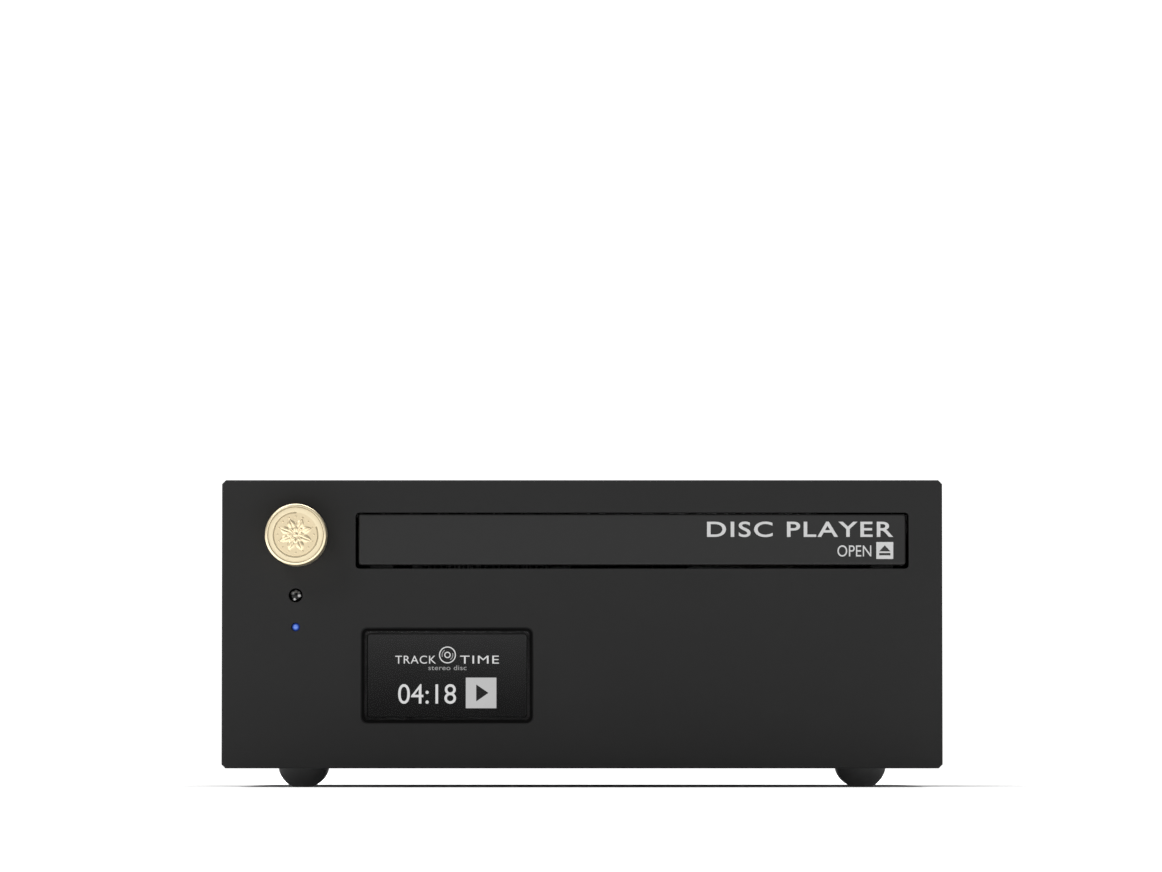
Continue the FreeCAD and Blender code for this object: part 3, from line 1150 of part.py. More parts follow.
def pickup():
    """The laser sled on its two rods, with the sprung lens holder in its well."""
    x, lens = d.tray_x, (d.tray_x, d.lens_y)
    y = (d.pickup_front_y, d.pickup_rear_y)
    sled = block((x - d.pickup_left, x + d.pickup_right), y, (d.pickup_base_z, d.pickup_top_z))
    housing = block(around(x, d.cover_half), (d.actuator_front_y, d.actuator_rear_y),
                    (d.pickup_top_z, d.actuator_top_z))
    main = rod("Y", (x - d.rod_offset, d.rod_z), d.rod_radius + d.axle_gap, y)
    hook = block((x + d.rod_offset - d.rod_radius - d.slide_gap, x + d.pickup_right), y,
                 around(d.rod_z, d.rod_radius + d.axle_gap))
    well = rod("Z", lens, d.lens_well_radius, (d.lens_ring_base_z - d.lens_travel - d.slide_gap, d.actuator_top_z))
    node("pickup_body", cut(fuse(sled, housing), main, hook, well))

    rack = new_body("pickup_rack")
    pitch = math.pi * value(d.feed_module)
    ahead = math.ceil((value(d.feed_travel) + 2) / pitch)
    count = ahead + 3
    start = d.feed_gear_y - ahead * pitch
    line = d.tray_x + d.feed_rack_offset
    back, front = line - 3 * d.feed_module, line - d.feed_module
    arm = (d.pickup_front_y + d.ear_length, d.pickup_rear_y - d.ear_length)
    reach = d.tray_x + d.pickup_right
    thick = d.feed_rack_top_z - d.feed_rack_base_z
    spine = outline(new_sketch(rack, "XY_Plane", d.feed_rack_base_z), [
        (back, start), (front, start), (front, start + count * pitch), (back, start + count * pitch),
        (back, arm[1]), (reach, arm[1]), (reach, arm[0]), (back, arm[0])])
    pad(rack, spine, thick)
    add_rack(rack, line, start, count, d.feed_module, d.feed_backlash, d.feed_rack_base_z, thick)

    holder = cut(rod("Z", lens, d.lens_ring_radius, (d.lens_ring_base_z, d.lens_ring_top_z)),
                 rod("Z", lens, d.lens_radius, (d.lens_ring_base_z, d.lens_ring_top_z)))
    node("lens_holder", holder)
    body = new_body("objective_lens")
    rise, radius = d.lens_ring_top_z + d.lens_rise, d.lens_radius - d.running_gap / 5
    profile = [(0, d.lens_ring_base_z + d.lens_travel), (radius, d.lens_ring_base_z + d.lens_travel),
               (radius, d.lens_ring_top_z), (radius * 0.72, d.lens_ring_top_z + d.lens_rise * 0.62),
               (radius * 0.36, d.lens_ring_top_z + d.lens_rise * 0.92), (0, rise)]
    revolve(body, outline(new_sketch(body, "XZ_Plane"), profile))
    place(body, d.tray_x, d.lens_y, 0)


def feed_drive():
    """The motor and gears that move the sled."""
    thick = d.feed_gear_top_z - d.feed_gear_base_z
    gear = new_body("feed_gear")
    gear_ring(gear, d.feed_module, d.feed_teeth, d.feed_backlash, d.feed_gear_base_z, thick)
    gear_ring(gear, d.feed_module, d.feed_small_teeth, d.feed_backlash, d.feed_gear_top_z,
              d.feed_rack_top_z - d.feed_gear_top_z + d.slide_gap)
    bore_through(gear, d.spindle_radius + d.axle_gap, d.feed_gear_base_z)
    stand(gear, FEED_X, d.feed_gear_y, 180)

    pinion = new_body("feed_pinion")
    gear_ring(pinion, d.feed_module, d.feed_pinion_teeth, d.feed_backlash, d.feed_gear_base_z, thick)
    disc_on(pinion, d.spindle_radius, d.feed_motor_base_z + d.base_thick,
            d.feed_gear_base_z - d.feed_motor_base_z - d.base_thick)
    half_pitch = 180 / int(value(d.feed_pinion_teeth))
    stand(pinion, FEED_X, FEED_PINION_Y, 270 + half_pitch)

    spot = (FEED_X, FEED_PINION_Y)
    top = d.feed_gear_base_z - d.slide_gap
    can = rod("Z", spot, d.feed_motor_radius, (d.feed_motor_base_z, top))
    bracket = block((d.tray_x + d.plate_half - d.rod_radius, d.tray_x + d.plate_half),
                    around(FEED_PINION_Y, d.feed_motor_radius / 2), (top - d.holder_half, d.plate_base_z))
    bore = rod("Z", spot, d.spindle_radius + d.axle_gap, (d.feed_motor_base_z + d.base_thick - d.slack, top))
    node("feed_motor", cut(fuse(can, bracket), bore))


# ---- boards and power supply ----

def main_board():
    body = new_body("main_board")
    pad(body, rectangle(new_sketch(body, "XY_Plane", d.main_board_z),
                        (d.main_board_left_x, d.main_board_right_x),
                        (d.main_board_front_y, d.main_board_rear_y)), d.board_thick)
    holes = new_sketch(body, "XY_Plane", BOARD_TOP)
    for x, y in POSTS:
        if value(y) > value(d.main_board_front_y):
            circle(holes, x, y, d.board_hole_radius)
    for x, y in MAIN_SPACERS:
        circle(holes, x, y, d.screw_hole_radius)
    pocket(body, holes)


# Flat packages on the main board: (x, y, width, depth, height).
CHIPS = [(-20, -40, 14, 14, 1.6), (12, -42, 10, 10, 1.4), (40, -20, 20, 9, 3), (-30, 10, 12, 8, 1.8),
         (10, 20, 7, 5, 1.6), (36, 28, 7, 5, 1.6), (60, 20, 12, 16, 9), (-24, 92, 10, 10, 1.6),
         (64, -60, 18, 6, 8), (4, -72, 22, 5, 3.5)]
CAPACITORS = [(-44, 42), (-44, 28), (-30, 42), (-30, 28), (56, 52), (70, 52), (56, 88), (70, 88)]
SMALL_CAPACITORS = [(-6, 78), (8, 78), (22, 78), (-6, 90), (8, 90), (22, 90), (36, 90), (36, 78)]


def board_components():
    """Chips, filter capacitors and small capacitors, each a separate solid on the board."""
    made = [block(around(x, w / 2), around(y, p / 2), (BOARD_TOP, BOARD_TOP + h)) for x, y, w, p, h in CHIPS]
    for spots, size in ((CAPACITORS, 1), (SMALL_CAPACITORS, 0.5)):
        for spot in spots:
            radius = d.capacitor_radius * size
            top = BOARD_TOP + d.capacitor_height * size
            can = rod("Z", spot, radius, (BOARD_TOP, top))
            made.append(cut(can, ring("Z", spot, radius, radius * 0.9,
                                      (BOARD_TOP + radius / 3, BOARD_TOP + radius / 2))))
    made.append(heatsink())
    node("board_components", group(made))


def heatsink():
    """A finned extrusion that stands on the board beside the rectifiers."""
    x0, y0, fins, pitch = 4, 46, 9, 3.4
    low, high = BOARD_TOP, BOARD_TOP + 20
    base = block((x0, x0 + fins * pitch), (y0, y0 + 3), (low, high))
    blades = [block((x0 + i * pitch, x0 + i * pitch + 1.2), (y0 + 3, y0 + 16), (low, high))
              for i in range(fins)]
    return fuse(base, *blades)


def transformer():
    """An iron core on the chassis floor with its coil round the middle leg."""
    x = around(d.core_x, d.core_width / 2)
    y = (d.core_front_y, d.core_rear_y)
    z = (BASE_TOP, d.core_top_z)
    core = block(x, y, z)
    leg = (d.core_rear_y - d.core_front_y) / 6
    windows = [block(x, (y[0] + leg, y[0] + 2 * leg), (z[0] + leg, z[1] - leg)),
               block(x, (y[1] - 2 * leg, y[1] - leg), (z[0] + leg, z[1] - leg))]
    node("transformer_core", cut(core, *windows))
    play = d.sheet_gap
    coil = block((x[0] - d.coil_margin, x[1] + d.coil_margin),
                 (y[0] + leg + play, y[1] - leg - play), (z[0] + leg + play, z[1] - leg - play))
    middle = block(x, (y[0] + 2 * leg, y[1] - 2 * leg), (z[0], z[1]))
    node("transformer_coil", cut(coil, middle))


def ribbon():
    """The flat cable from the front board down to the main board, in two easy bends."""
    radius, half = value(d.ribbon_radius), value(d.ribbon_thick) / 2
    start_y, start_z = value(FRONT_BOARD_BACK), value(d.ribbon_z)
    turn_y = value(d.main_board_front_y) + 6
    end_z = value(BOARD_TOP)
    diagonal = math.sqrt(0.5)
    corner = FreeCAD.Vector(0, turn_y - radius + radius * diagonal, start_z - radius + radius * diagonal)
    path = Part.Wire([
        Part.LineSegment(FreeCAD.Vector(0, start_y, start_z),
                         FreeCAD.Vector(0, turn_y - radius, start_z)).toShape(),
        Part.Arc(FreeCAD.Vector(0, turn_y - radius, start_z), corner,
                 FreeCAD.Vector(0, turn_y, start_z - radius)).toShape(),
        Part.LineSegment(FreeCAD.Vector(0, turn_y, start_z - radius),
                         FreeCAD.Vector(0, turn_y, end_z)).toShape()])
    wide = value(d.ribbon_width) / 2
    corners = [FreeCAD.Vector(x, start_y, start_z + z)
               for x, z in ((-wide, -half), (wide, -half), (wide, half), (-wide, half), (-wide, -half))]
    section = Part.makePolygon(corners)
    made = doc.addObject("Part::Feature", "ribbon")
    made.Shape = path.makePipeShell([section], True, True)
    place(made, d.ribbon_x, 0, 0)
    node("ribbon_cable", made)


# ---- rear connectors ----

def power_inlet():
    """The mains inlet: a flanged box with a deep socket, and three flat blades in it."""
    x, z = d.inlet_x, d.inlet_z
    rim_half = (d.inlet_width / 2 + d.inlet_rim, d.inlet_height / 2 + d.inlet_rim)
    flange = block(around(x, rim_half[0]), (d.back_y, d.back_y + d.inlet_flange), around(z, rim_half[1]))
    box = block(around(x, d.inlet_width / 2), (d.back_y - d.inlet_depth, d.back_y),
                around(z, d.inlet_height / 2))
    wall = d.inlet_wall
    socket_front = d.back_y - d.inlet_depth + d.inlet_back
    socket = block(around(x, d.inlet_width / 2 - wall), (socket_front, d.back_y + d.inlet_flange),
                   around(z, d.inlet_height / 2 - wall))
    node("power_inlet", cut(fuse(flange, box), socket))


def contact_pins():
    """The inlet's three blades and the six pins of the balanced sockets."""
    y = (d.back_y - d.inlet_depth + d.inlet_back, d.back_y - d.inlet_flange)
    made = []
    for dx, dz in ((-7, -2), (7, -2), (0, 2)):
        made.append(block(around(d.inlet_x + dx, 1), y, around(d.inlet_z + dz, 2)))
    floor = d.back_y - d.balanced_depth + d.balanced_disc
    for x, z in BALANCED:
        for angle in (-135, -45, 90):
            spot = (x + d.contact_circle * math.cos(math.radians(angle)),
                    z + d.contact_circle * math.sin(math.radians(angle)))
            made.append(rod("Y", spot, d.contact_radius, (floor, floor + d.contact_length)))
    node("contact_pins", group(made))


def power_switch():
    """A rocker switch: the framed housing, and the rocker that tips on a cross pin."""
    x, z, wall = d.switch_x, d.switch_z, d.flange_thick
    half_w, half_h = d.switch_width / 2, d.switch_height / 2
    flange = block(around(x, half_w + d.switch_rim), (d.back_y, d.back_y + d.rear_thick),
                   around(z, half_h + d.switch_rim / 2))
    box = block(around(x, half_w), (d.back_y - d.switch_depth, d.back_y), around(z, half_h))
    hollow = block(around(x, half_w - wall), (d.back_y - d.switch_depth + wall, d.back_y + d.rear_thick),
                   around(z, half_h - wall / 2))
    pin = rod("X", (d.rocker_pivot_y, z), 1, around(x, half_w - wall))
    node("switch_housing", fuse(cut(fuse(flange, box), hollow), pin))

    body = new_body("rocker")
    tall = d.rocker_half
    shape = [(-2.4, -3), (1.6, -tall + 1), (5.6, -tall), (3.9, 0), (5.6, tall), (1.6, tall - 1), (-2.4, 3)]
    pad(body, outline(new_sketch(body, "YZ_Plane", -d.rocker_width / 2), shape), d.rocker_width)
    hole = circle(new_sketch(body, "YZ_Plane", d.rocker_width / 2), 0, 0, 1 + d.axle_gap)
    pocket(body, hole)
    tilted = FreeCAD.Rotation(FreeCAD.Vector(1, 0, 0), -value(d.rocker_tilt))
    body.Placement = FreeCAD.Placement(FreeCAD.Vector(), tilted)
    place(body, x, d.rocker_pivot_y, z)


def phono_jacks():
    """Three round jacks: plated shell and nut outside, a bored insulator inside."""
    shells, insulators = [], []
    for spot in PHONO:
        outer = rod("Y", spot, d.phono_radius, (d.back_y - d.phono_depth, d.phono_end_y))
        nut = rod("Y", spot, d.phono_nut_radius, (d.back_y, d.back_y + d.phono_nut_thick))
        inside_bore = rod("Y", spot, d.phono_inner_radius, (d.back_y - d.phono_depth, d.phono_end_y))
        shells.append(cut(fuse(outer, nut), inside_bore))
        core = rod("Y", spot, d.phono_inner_radius, (d.back_y - d.phono_depth, d.phono_end_y - d.slack * 4))
        bore = rod("Y", spot, d.phono_bore, (d.back_y - d.rear_thick, d.phono_end_y))
        insulators.append(cut(core, bore))
    node("phono_shells", group(shells))
    node("phono_insulators", group(insulators))


def balanced_sockets():
    """Two round three-pin outputs, each a flanged shell with a floor that holds its pins."""
    made = []
    for x, z in BALANCED:
        flange = block(around(x, d.balanced_flange_width / 2), (d.back_y, d.back_y + d.balanced_flange),
                       around(z, d.balanced_flange_height / 2))
        shell = rod("Y", (x, z), d.balanced_radius + d.balanced_shell, (d.back_y - d.balanced_depth, d.back_y))
        hollow = rod("Y", (x, z), d.balanced_radius,
                     (d.back_y - d.balanced_depth + d.balanced_disc, d.back_y + d.balanced_flange))
        holes = [rod("Y", (x + side * d.balanced_screw_x, z + side * d.balanced_screw_z), d.screw_hole_radius,
                     (d.back_y, d.back_y + d.balanced_flange)) for side in (-1, 1)]
        made.append(cut(fuse(flange, shell), hollow, *holes))
    node("balanced_sockets", group(made))


def optical_socket():
    """The optical output: a square port behind a sprung flap hinged along its top edge."""
    x, z = OPTICAL
    half, wall = d.optical_size / 2, d.optical_wall
    mouth = d.back_y + d.optical_proud
    inner, play = half - wall, d.sheet_gap
    pin = (mouth - play - d.flap_pin_radius, z + inner - play - d.flap_pin_radius)
    reach = around(x, inner + wall / 3)
    box = block(around(x, half), (d.back_y - d.optical_depth, mouth), around(z, half))
    port = block(around(x, inner), (d.back_y - d.optical_depth + wall, mouth), around(z, inner))
    holes = rod("X", pin, d.flap_pin_radius + d.axle_gap, around(x, inner + wall / 2))
    node("optical_socket", cut(box, port, holes))
    plate = block(around(x, inner - play), around(pin[0], d.flap_thick / 2), (z - inner + play, pin[1]))
    node("optical_flap", fuse(plate, rod("X", pin, d.flap_pin_radius, reach)))


fill_sheet()
for build in (
        front_panel, chassis_base, top_cover, rear_panel, feet, case_screws, display, front_board,
        spacers, eye_and_lamp, encoder, knob, tray, tray_front, loader_frame, clamp,
        inner_screws, loading_drive, drive_belt, lift, traverse, turntable, pickup, feed_drive,
        main_board, board_components, transformer, ribbon, power_inlet, contact_pins,
        power_switch, phono_jacks, balanced_sockets, optical_socket):
    build()
doc.recompute()

for item in doc.Objects:
    if "Invalid" in item.State or "Error" in item.State:
        raise RuntimeError(f"{item.Name} ({item.Label}) failed: {item.State}")
os.makedirs(PARTS, exist_ok=True)
for made in nodes:
    if made.Shape.isNull() or not made.Shape.isValid():
        raise RuntimeError(f"{made.Label} has no valid shape")
    made.Shape.exportStep(os.path.join(PARTS, f"{made.Label}.step"))
print(len(nodes), "sub-parts")
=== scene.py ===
import math

import bmesh
import bpy
from mathutils import Matrix, Vector


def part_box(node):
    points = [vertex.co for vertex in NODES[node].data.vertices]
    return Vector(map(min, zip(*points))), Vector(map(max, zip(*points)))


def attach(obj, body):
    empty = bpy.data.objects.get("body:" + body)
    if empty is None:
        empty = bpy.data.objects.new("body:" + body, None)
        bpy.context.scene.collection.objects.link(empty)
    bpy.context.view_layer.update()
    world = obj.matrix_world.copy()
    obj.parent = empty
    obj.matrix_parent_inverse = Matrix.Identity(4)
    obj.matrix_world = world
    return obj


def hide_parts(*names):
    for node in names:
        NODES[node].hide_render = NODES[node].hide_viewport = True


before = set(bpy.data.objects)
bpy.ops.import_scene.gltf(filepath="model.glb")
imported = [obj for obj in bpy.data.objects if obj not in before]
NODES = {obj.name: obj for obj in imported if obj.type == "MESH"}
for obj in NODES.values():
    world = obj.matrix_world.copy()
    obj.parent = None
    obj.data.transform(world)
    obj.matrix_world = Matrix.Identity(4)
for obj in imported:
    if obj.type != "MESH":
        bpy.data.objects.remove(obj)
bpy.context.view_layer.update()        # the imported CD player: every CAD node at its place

# places on the player, read from the CAD nodes
PANEL_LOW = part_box("front_panel")[0]
TRAY_FACE_LOW, TRAY_FACE_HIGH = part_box("tray_front")
WINDOW_LOW, WINDOW_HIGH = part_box("display_window")
SCREEN_LOW, SCREEN_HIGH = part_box("display_module")
KNOB_LOW, KNOB_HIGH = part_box("knob")
KNOB_X = (KNOB_LOW.x + KNOB_HIGH.x) / 2
KNOB_Z = (KNOB_LOW.z + KNOB_HIGH.z) / 2
MEDAL_LOW, MEDAL_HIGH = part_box("knob_medal")
LAMP_LOW, LAMP_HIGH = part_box("status_lamp")
EYE_LOW, EYE_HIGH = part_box("ir_receiver")
EYE_X = (EYE_LOW.x + EYE_HIGH.x) / 2
EYE_Z = (EYE_LOW.z + EYE_HIGH.z) / 2
REAR_LOW, REAR_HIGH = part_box("rear_panel")


# ---------------------------------------------------------------- camera and lights

CAMERA_DISTANCE = 2.0      # from the lens to the front panel
CAMERA_HEIGHT = 0.0070     # just over the shelf that the player stands on
VIEW_WIDTH = 0.3225        # what the view takes in at the front panel
VIEW_MIDDLE_Z = 0.09746    # height of the middle of the view there
VIEW_MIDDLE_X = -0.0003    # a hair left of the middle of the case
SENSOR_WIDTH = 36.0

ROOM_LIGHT = 0.38          # what the white room gives the player
ROOM_SEEN = 1.15           # what the eye sees of it
PLAYER_MIDDLE = (0.0, 0.0, 0.0)
PANEL_MIDDLE = (0.0, -0.11, 0.05)


def set_camera():
    """A long lens straight in front, close to the shelf, tipped up a little over the panel."""
    data = bpy.data.cameras.new("studio_camera")
    data.sensor_width = SENSOR_WIDTH
    tip = math.atan2(VIEW_MIDDLE_Z - CAMERA_HEIGHT, CAMERA_DISTANCE)
    data.lens = SENSOR_WIDTH * CAMERA_DISTANCE / VIEW_WIDTH
    data.clip_start = 0.05
    data.clip_end = 60.0
    camera = bpy.data.objects.new("studio_camera", data)
    camera.location = (VIEW_MIDDLE_X, PANEL_LOW.y - CAMERA_DISTANCE, CAMERA_HEIGHT)
    camera.rotation_euler = (math.radians(90) + tip, 0.0, 0.0)
    bpy.context.scene.collection.objects.link(camera)
    bpy.context.scene.camera = camera


def add_softbox(name, place, aim, width, height, watts):
    """A wide soft lamp at place, turned to aim."""
    data = bpy.data.lights.new(name, "AREA")
    data.shape = "RECTANGLE"
    data.size, data.size_y = width, height
    data.energy = watts
    lamp = bpy.data.objects.new(name, data)
    lamp.location = place
    turn = (Vector(aim) - Vector(place)).to_track_quat("-Z", "Y")
    lamp.rotation_euler = turn.to_euler()
    bpy.context.scene.collection.objects.link(lamp)


def light_studio():
    """A white room for the eye, and a softer one for the light that falls on the player."""
    world = bpy.data.worlds.new("white_room")
    bpy.context.scene.world = world
    world.use_nodes = True
    tree = world.node_tree
    room = tree.nodes["Background"]
    seen = tree.nodes.new("ShaderNodeBackground")
    for background, strength in ((room, ROOM_LIGHT), (seen, ROOM_SEEN)):
        background.inputs["Color"].default_value = (1.0, 1.0, 1.0, 1.0)
        background.inputs["Strength"].default_value = strength
    path = tree.nodes.new("ShaderNodeLightPath")
    choose = tree.nodes.new("ShaderNodeMixShader")
    tree.links.new(path.outputs["Is Camera Ray"], choose.inputs["Fac"])
    tree.links.new(room.outputs["Background"], choose.inputs[1])
    tree.links.new(seen.outputs["Background"], choose.inputs[2])
    tree.links.new(choose.outputs["Shader"], tree.nodes["World Output"].inputs["Surface"])
    add_softbox("top_softbox", (-0.05, 0.80, 1.4), PLAYER_MIDDLE, 2.0, 1.3, 34.0)
    add_softbox("front_softbox", (-1.0, -1.4, 1.35), PANEL_MIDDLE, 0.7, 0.7, 11.0)


# ---------------------------------------------------------------- node trees in short words

def put(tree, kind, settings=None, **inputs):
    """Adds a node: settings are its own properties, inputs its sockets (values or links)."""
    node = tree.nodes.new(kind)
    for key, value in (settings or {}).items():
        setattr(node, key, value)
    for key, value in inputs.items():
        feed(tree, node.inputs[key.replace("_", " ")], value)
    return node


def feed(tree, socket, value):
    """Links value to the socket, or sets it there when it is a plain number or colour."""
    if isinstance(value, bpy.types.NodeSocket):
        tree.links.new(value, socket)
    else:
        socket.default_value = value


def calc(tree, operation, first, second=0.0, clamp=False):
    """One Math node; returns its value."""
    node = tree.nodes.new("ShaderNodeMath")
    node.operation = operation
    node.use_clamp = clamp
    feed(tree, node.inputs[0], first)
    feed(tree, node.inputs[1], second)
    return node.outputs[0]


def fade(tree, value, low, high, low_out=0.0, high_out=1.0):
    """Maps low..high of a value to low_out..high_out and holds it there."""
    node = put(tree, "ShaderNodeMapRange", {"clamp": True}, Value=value)
    node.inputs["From Min"].default_value = low
    node.inputs["From Max"].default_value = high
    node.inputs["To Min"].default_value = low_out
    node.inputs["To Max"].default_value = high_out
    return node.outputs["Result"]


def paint_over(tree, mask, under, over):
    """Colour over where the mask is 1, colour under where it is 0."""
    node = tree.nodes.new("ShaderNodeMix")
    node.data_type = "RGBA"
    node.clamp_factor = True
    feed(tree, node.inputs[0], mask)
    feed(tree, node.inputs[6], under)
    feed(tree, node.inputs[7], over)
    return node.outputs[2]


def scaled_place(tree, place, factors):
    """The place multiplied axis by axis, for patterns that are longer one way."""
    node = tree.nodes.new("ShaderNodeVectorMath")
    node.operation = "MULTIPLY"
    feed(tree, node.inputs[0], place)
    node.inputs[1].default_value = factors
    return node.outputs[0]


def noise(tree, place, scale, detail=2.0, roughness=0.5):
    """A cloudy value about 0.5."""
    node = put(tree, "ShaderNodeTexNoise", Vector=place, Scale=scale, Detail=detail, Roughness=roughness)
    return node.outputs["Fac"]


def cells(tree, place, scale, randomness=1.0):
    """A Voronoi node: how far each spot is from the middle of its cell, and a colour for the cell."""
    return put(tree, "ShaderNodeTexVoronoi", {"feature": "F1"}, Vector=place, Scale=scale,
               Randomness=randomness).outputs


def stripes(tree, place, scale, direction, **settings):
    """A Wave node with even bands across one axis."""
    shape = dict({"wave_type": "BANDS", "bands_direction": direction}, **settings)
    return put(tree, "ShaderNodeTexWave", shape, Vector=place, Scale=scale)


def grey(value):
    """A colour with no hue."""
    return (value, value, value, 1.0)


def paler(colour, factor, lift=0.0):
    """The colour with each part raised, and none past 1."""
    return tuple(min(1.0, part * factor + lift) for part in colour[:3]) + (1.0,)


# ---------------------------------------------------------------- effects shared by the finishes

VECTOR, FLOAT = "NodeSocketVector", "NodeSocketFloat"


def new_effect(name, inputs, outputs):
    """An empty shader group with named sockets; returns it with its two end nodes."""
    group = bpy.data.node_groups.new(name, "ShaderNodeTree")
    for label, kind, value in inputs:
        socket = group.interface.new_socket(name=label, in_out="INPUT", socket_type=kind)
        if value is not None:
            socket.default_value = value
    for label, kind in outputs:
        group.interface.new_socket(name=label, in_out="OUTPUT", socket_type=kind)
    return group, group.nodes.new("NodeGroupInput"), group.nodes.new("NodeGroupOutput")


def make_fine_texture():
    """Fine grains under slow patches, as on powder coat, anodising and moulded plastic."""
    group, start, end = new_effect(
        "fine_texture",
        [("Place", VECTOR, None), ("Scale", FLOAT, 2500.0), ("Patches", FLOAT, 0.3)],
        [("Tone", FLOAT), ("Height", FLOAT)])
    place, scale = start.outputs["Place"], start.outputs["Scale"]
    small = noise(group, place, scale, 3.0, 0.6)
    wide = noise(group, place, calc(group, "MULTIPLY", scale, 0.03), 2.0, 0.5)
    amount = start.outputs["Patches"]
    slow = calc(group, "MULTIPLY", wide, amount)
    quick = calc(group, "MULTIPLY", small, calc(group, "SUBTRACT", 1.0, amount))
    group.links.new(calc(group, "ADD", slow, quick, clamp=True), end.inputs["Tone"])
    group.links.new(small, end.inputs["Height"])
    return group


def make_edge_wear_and_highlight():
    """Where an edge is worn, or takes a painted highlight: the rounded normal leaves the flat one, broken up
    by a grain.
    """
    group, start, end = new_effect(
        "edge_wear_and_highlight",
        [("Place", VECTOR, None), ("Width", FLOAT, 0.0003), ("Breakup", FLOAT, 0.5)],
        [("Mask", FLOAT), ("Normal", VECTOR)])
    rounded = put(group, "ShaderNodeBevel", {"samples": 6}, Radius=start.outputs["Width"]).outputs["Normal"]
    flat = group.nodes.new("ShaderNodeNewGeometry").outputs["Normal"]
    facing = group.nodes.new("ShaderNodeVectorMath")
    facing.operation = "DOT_PRODUCT"
    group.links.new(rounded, facing.inputs[0])
    group.links.new(flat, facing.inputs[1])
    bent = fade(group, facing.outputs["Value"], 0.995, 0.80)
    patches = fade(group, noise(group, start.outputs["Place"], 420.0, 4.0, 0.7), 0.35, 0.65)
    kept = calc(group, "MULTIPLY", patches, start.outputs["Breakup"])
    kept = calc(group, "ADD", kept, calc(group, "SUBTRACT", 1.0, start.outputs["Breakup"]))
    # this mask marks the edges that the finishes paint pale, partly as worn edges and partly as a painted
    # highlight
    group.links.new(calc(group, "MULTIPLY", bent, kept, clamp=True), end.inputs["Mask"])
    group.links.new(rounded, end.inputs["Normal"])
    return group


def make_dust():
    """Dust that lies on what faces up, in soft uneven patches with a few specks."""
    group, start, end = new_effect(
        "dust", [("Place", VECTOR, None), ("Amount", FLOAT, 0.3)], [("Mask", FLOAT)])
    apart = group.nodes.new("ShaderNodeSeparateXYZ")
    group.links.new(group.nodes.new("ShaderNodeNewGeometry").outputs["Normal"], apart.inputs[0])
    upward = fade(group, apart.outputs["Z"], 0.55, 0.95)
    cloud = fade(group, noise(group, start.outputs["Place"], 38.0, 5.0, 0.62), 0.35, 0.75)
    specks = fade(group, noise(group, start.outputs["Place"], 1900.0, 2.0, 0.5), 0.66, 0.74)
    both = calc(group, "ADD", calc(group, "MULTIPLY", cloud, 0.6), calc(group, "MULTIPLY", specks, 0.8))
    amount = calc(group, "MULTIPLY", calc(group, "MULTIPLY", both, upward), start.outputs["Amount"])
    group.links.new(calc(group, "MINIMUM", amount, 1.0), end.inputs["Mask"])
    return group


def make_smudges():
    """Finger smears: slow soft blots."""
    group, start, end = new_effect(
        "smudges", [("Place", VECTOR, None), ("Size", FLOAT, 90.0)], [("Blots", FLOAT)])
    blots = noise(group, start.outputs["Place"], start.outputs["Size"], 3.0, 0.55)
    group.links.new(fade(group, blots, 0.45, 0.7), end.inputs["Blots"])
    return group


def make_brushed():
    """Fine lines drawn one way: the place is squeezed along Stretch before the noise."""
    group, start, end = new_effect(
        "brushed", [("Place", VECTOR, None), ("Stretch", VECTOR, (40.0, 3000.0, 3000.0))],
        [("Tone", FLOAT), ("Height", FLOAT)])
    squeeze = group.nodes.new("ShaderNodeVectorMath")
    squeeze.operation = "MULTIPLY"
    group.links.new(start.outputs["Place"], squeeze.inputs[0])
    group.links.new(start.outputs["Stretch"], squeeze.inputs[1])
    lines = noise(group, squeeze.outputs[0], 1.0, 3.0, 0.65)
    group.links.new(fade(group, lines, 0.25, 0.75), end.inputs["Tone"])
    group.links.new(lines, end.inputs["Height"])
    return group


def make_hollow_shade():
    """How deep a spot lies in a hollow, for a darker tone round the relief."""
    group, start, end = new_effect(
        "hollow_shade", [("Reach", FLOAT, 0.001), ("Strength", FLOAT, 1.0)], [("Mask", FLOAT)])
    hidden = put(group, "ShaderNodeAmbientOcclusion", {"samples": 8}, Distance=start.outputs["Reach"])
    depth = calc(group, "SUBTRACT", 1.0, hidden.outputs["AO"])
    mask = calc(group, "MULTIPLY", depth, start.outputs["Strength"], clamp=True)
    group.links.new(mask, end.inputs["Mask"])
    return group


FINE_TEXTURE = make_fine_texture()
EDGE_WEAR_AND_HIGHLIGHT = make_edge_wear_and_highlight()
DUST = make_dust()
SMUDGES = make_smudges()
BRUSHED = make_brushed()
HOLLOW_SHADE = make_hollow_shade()


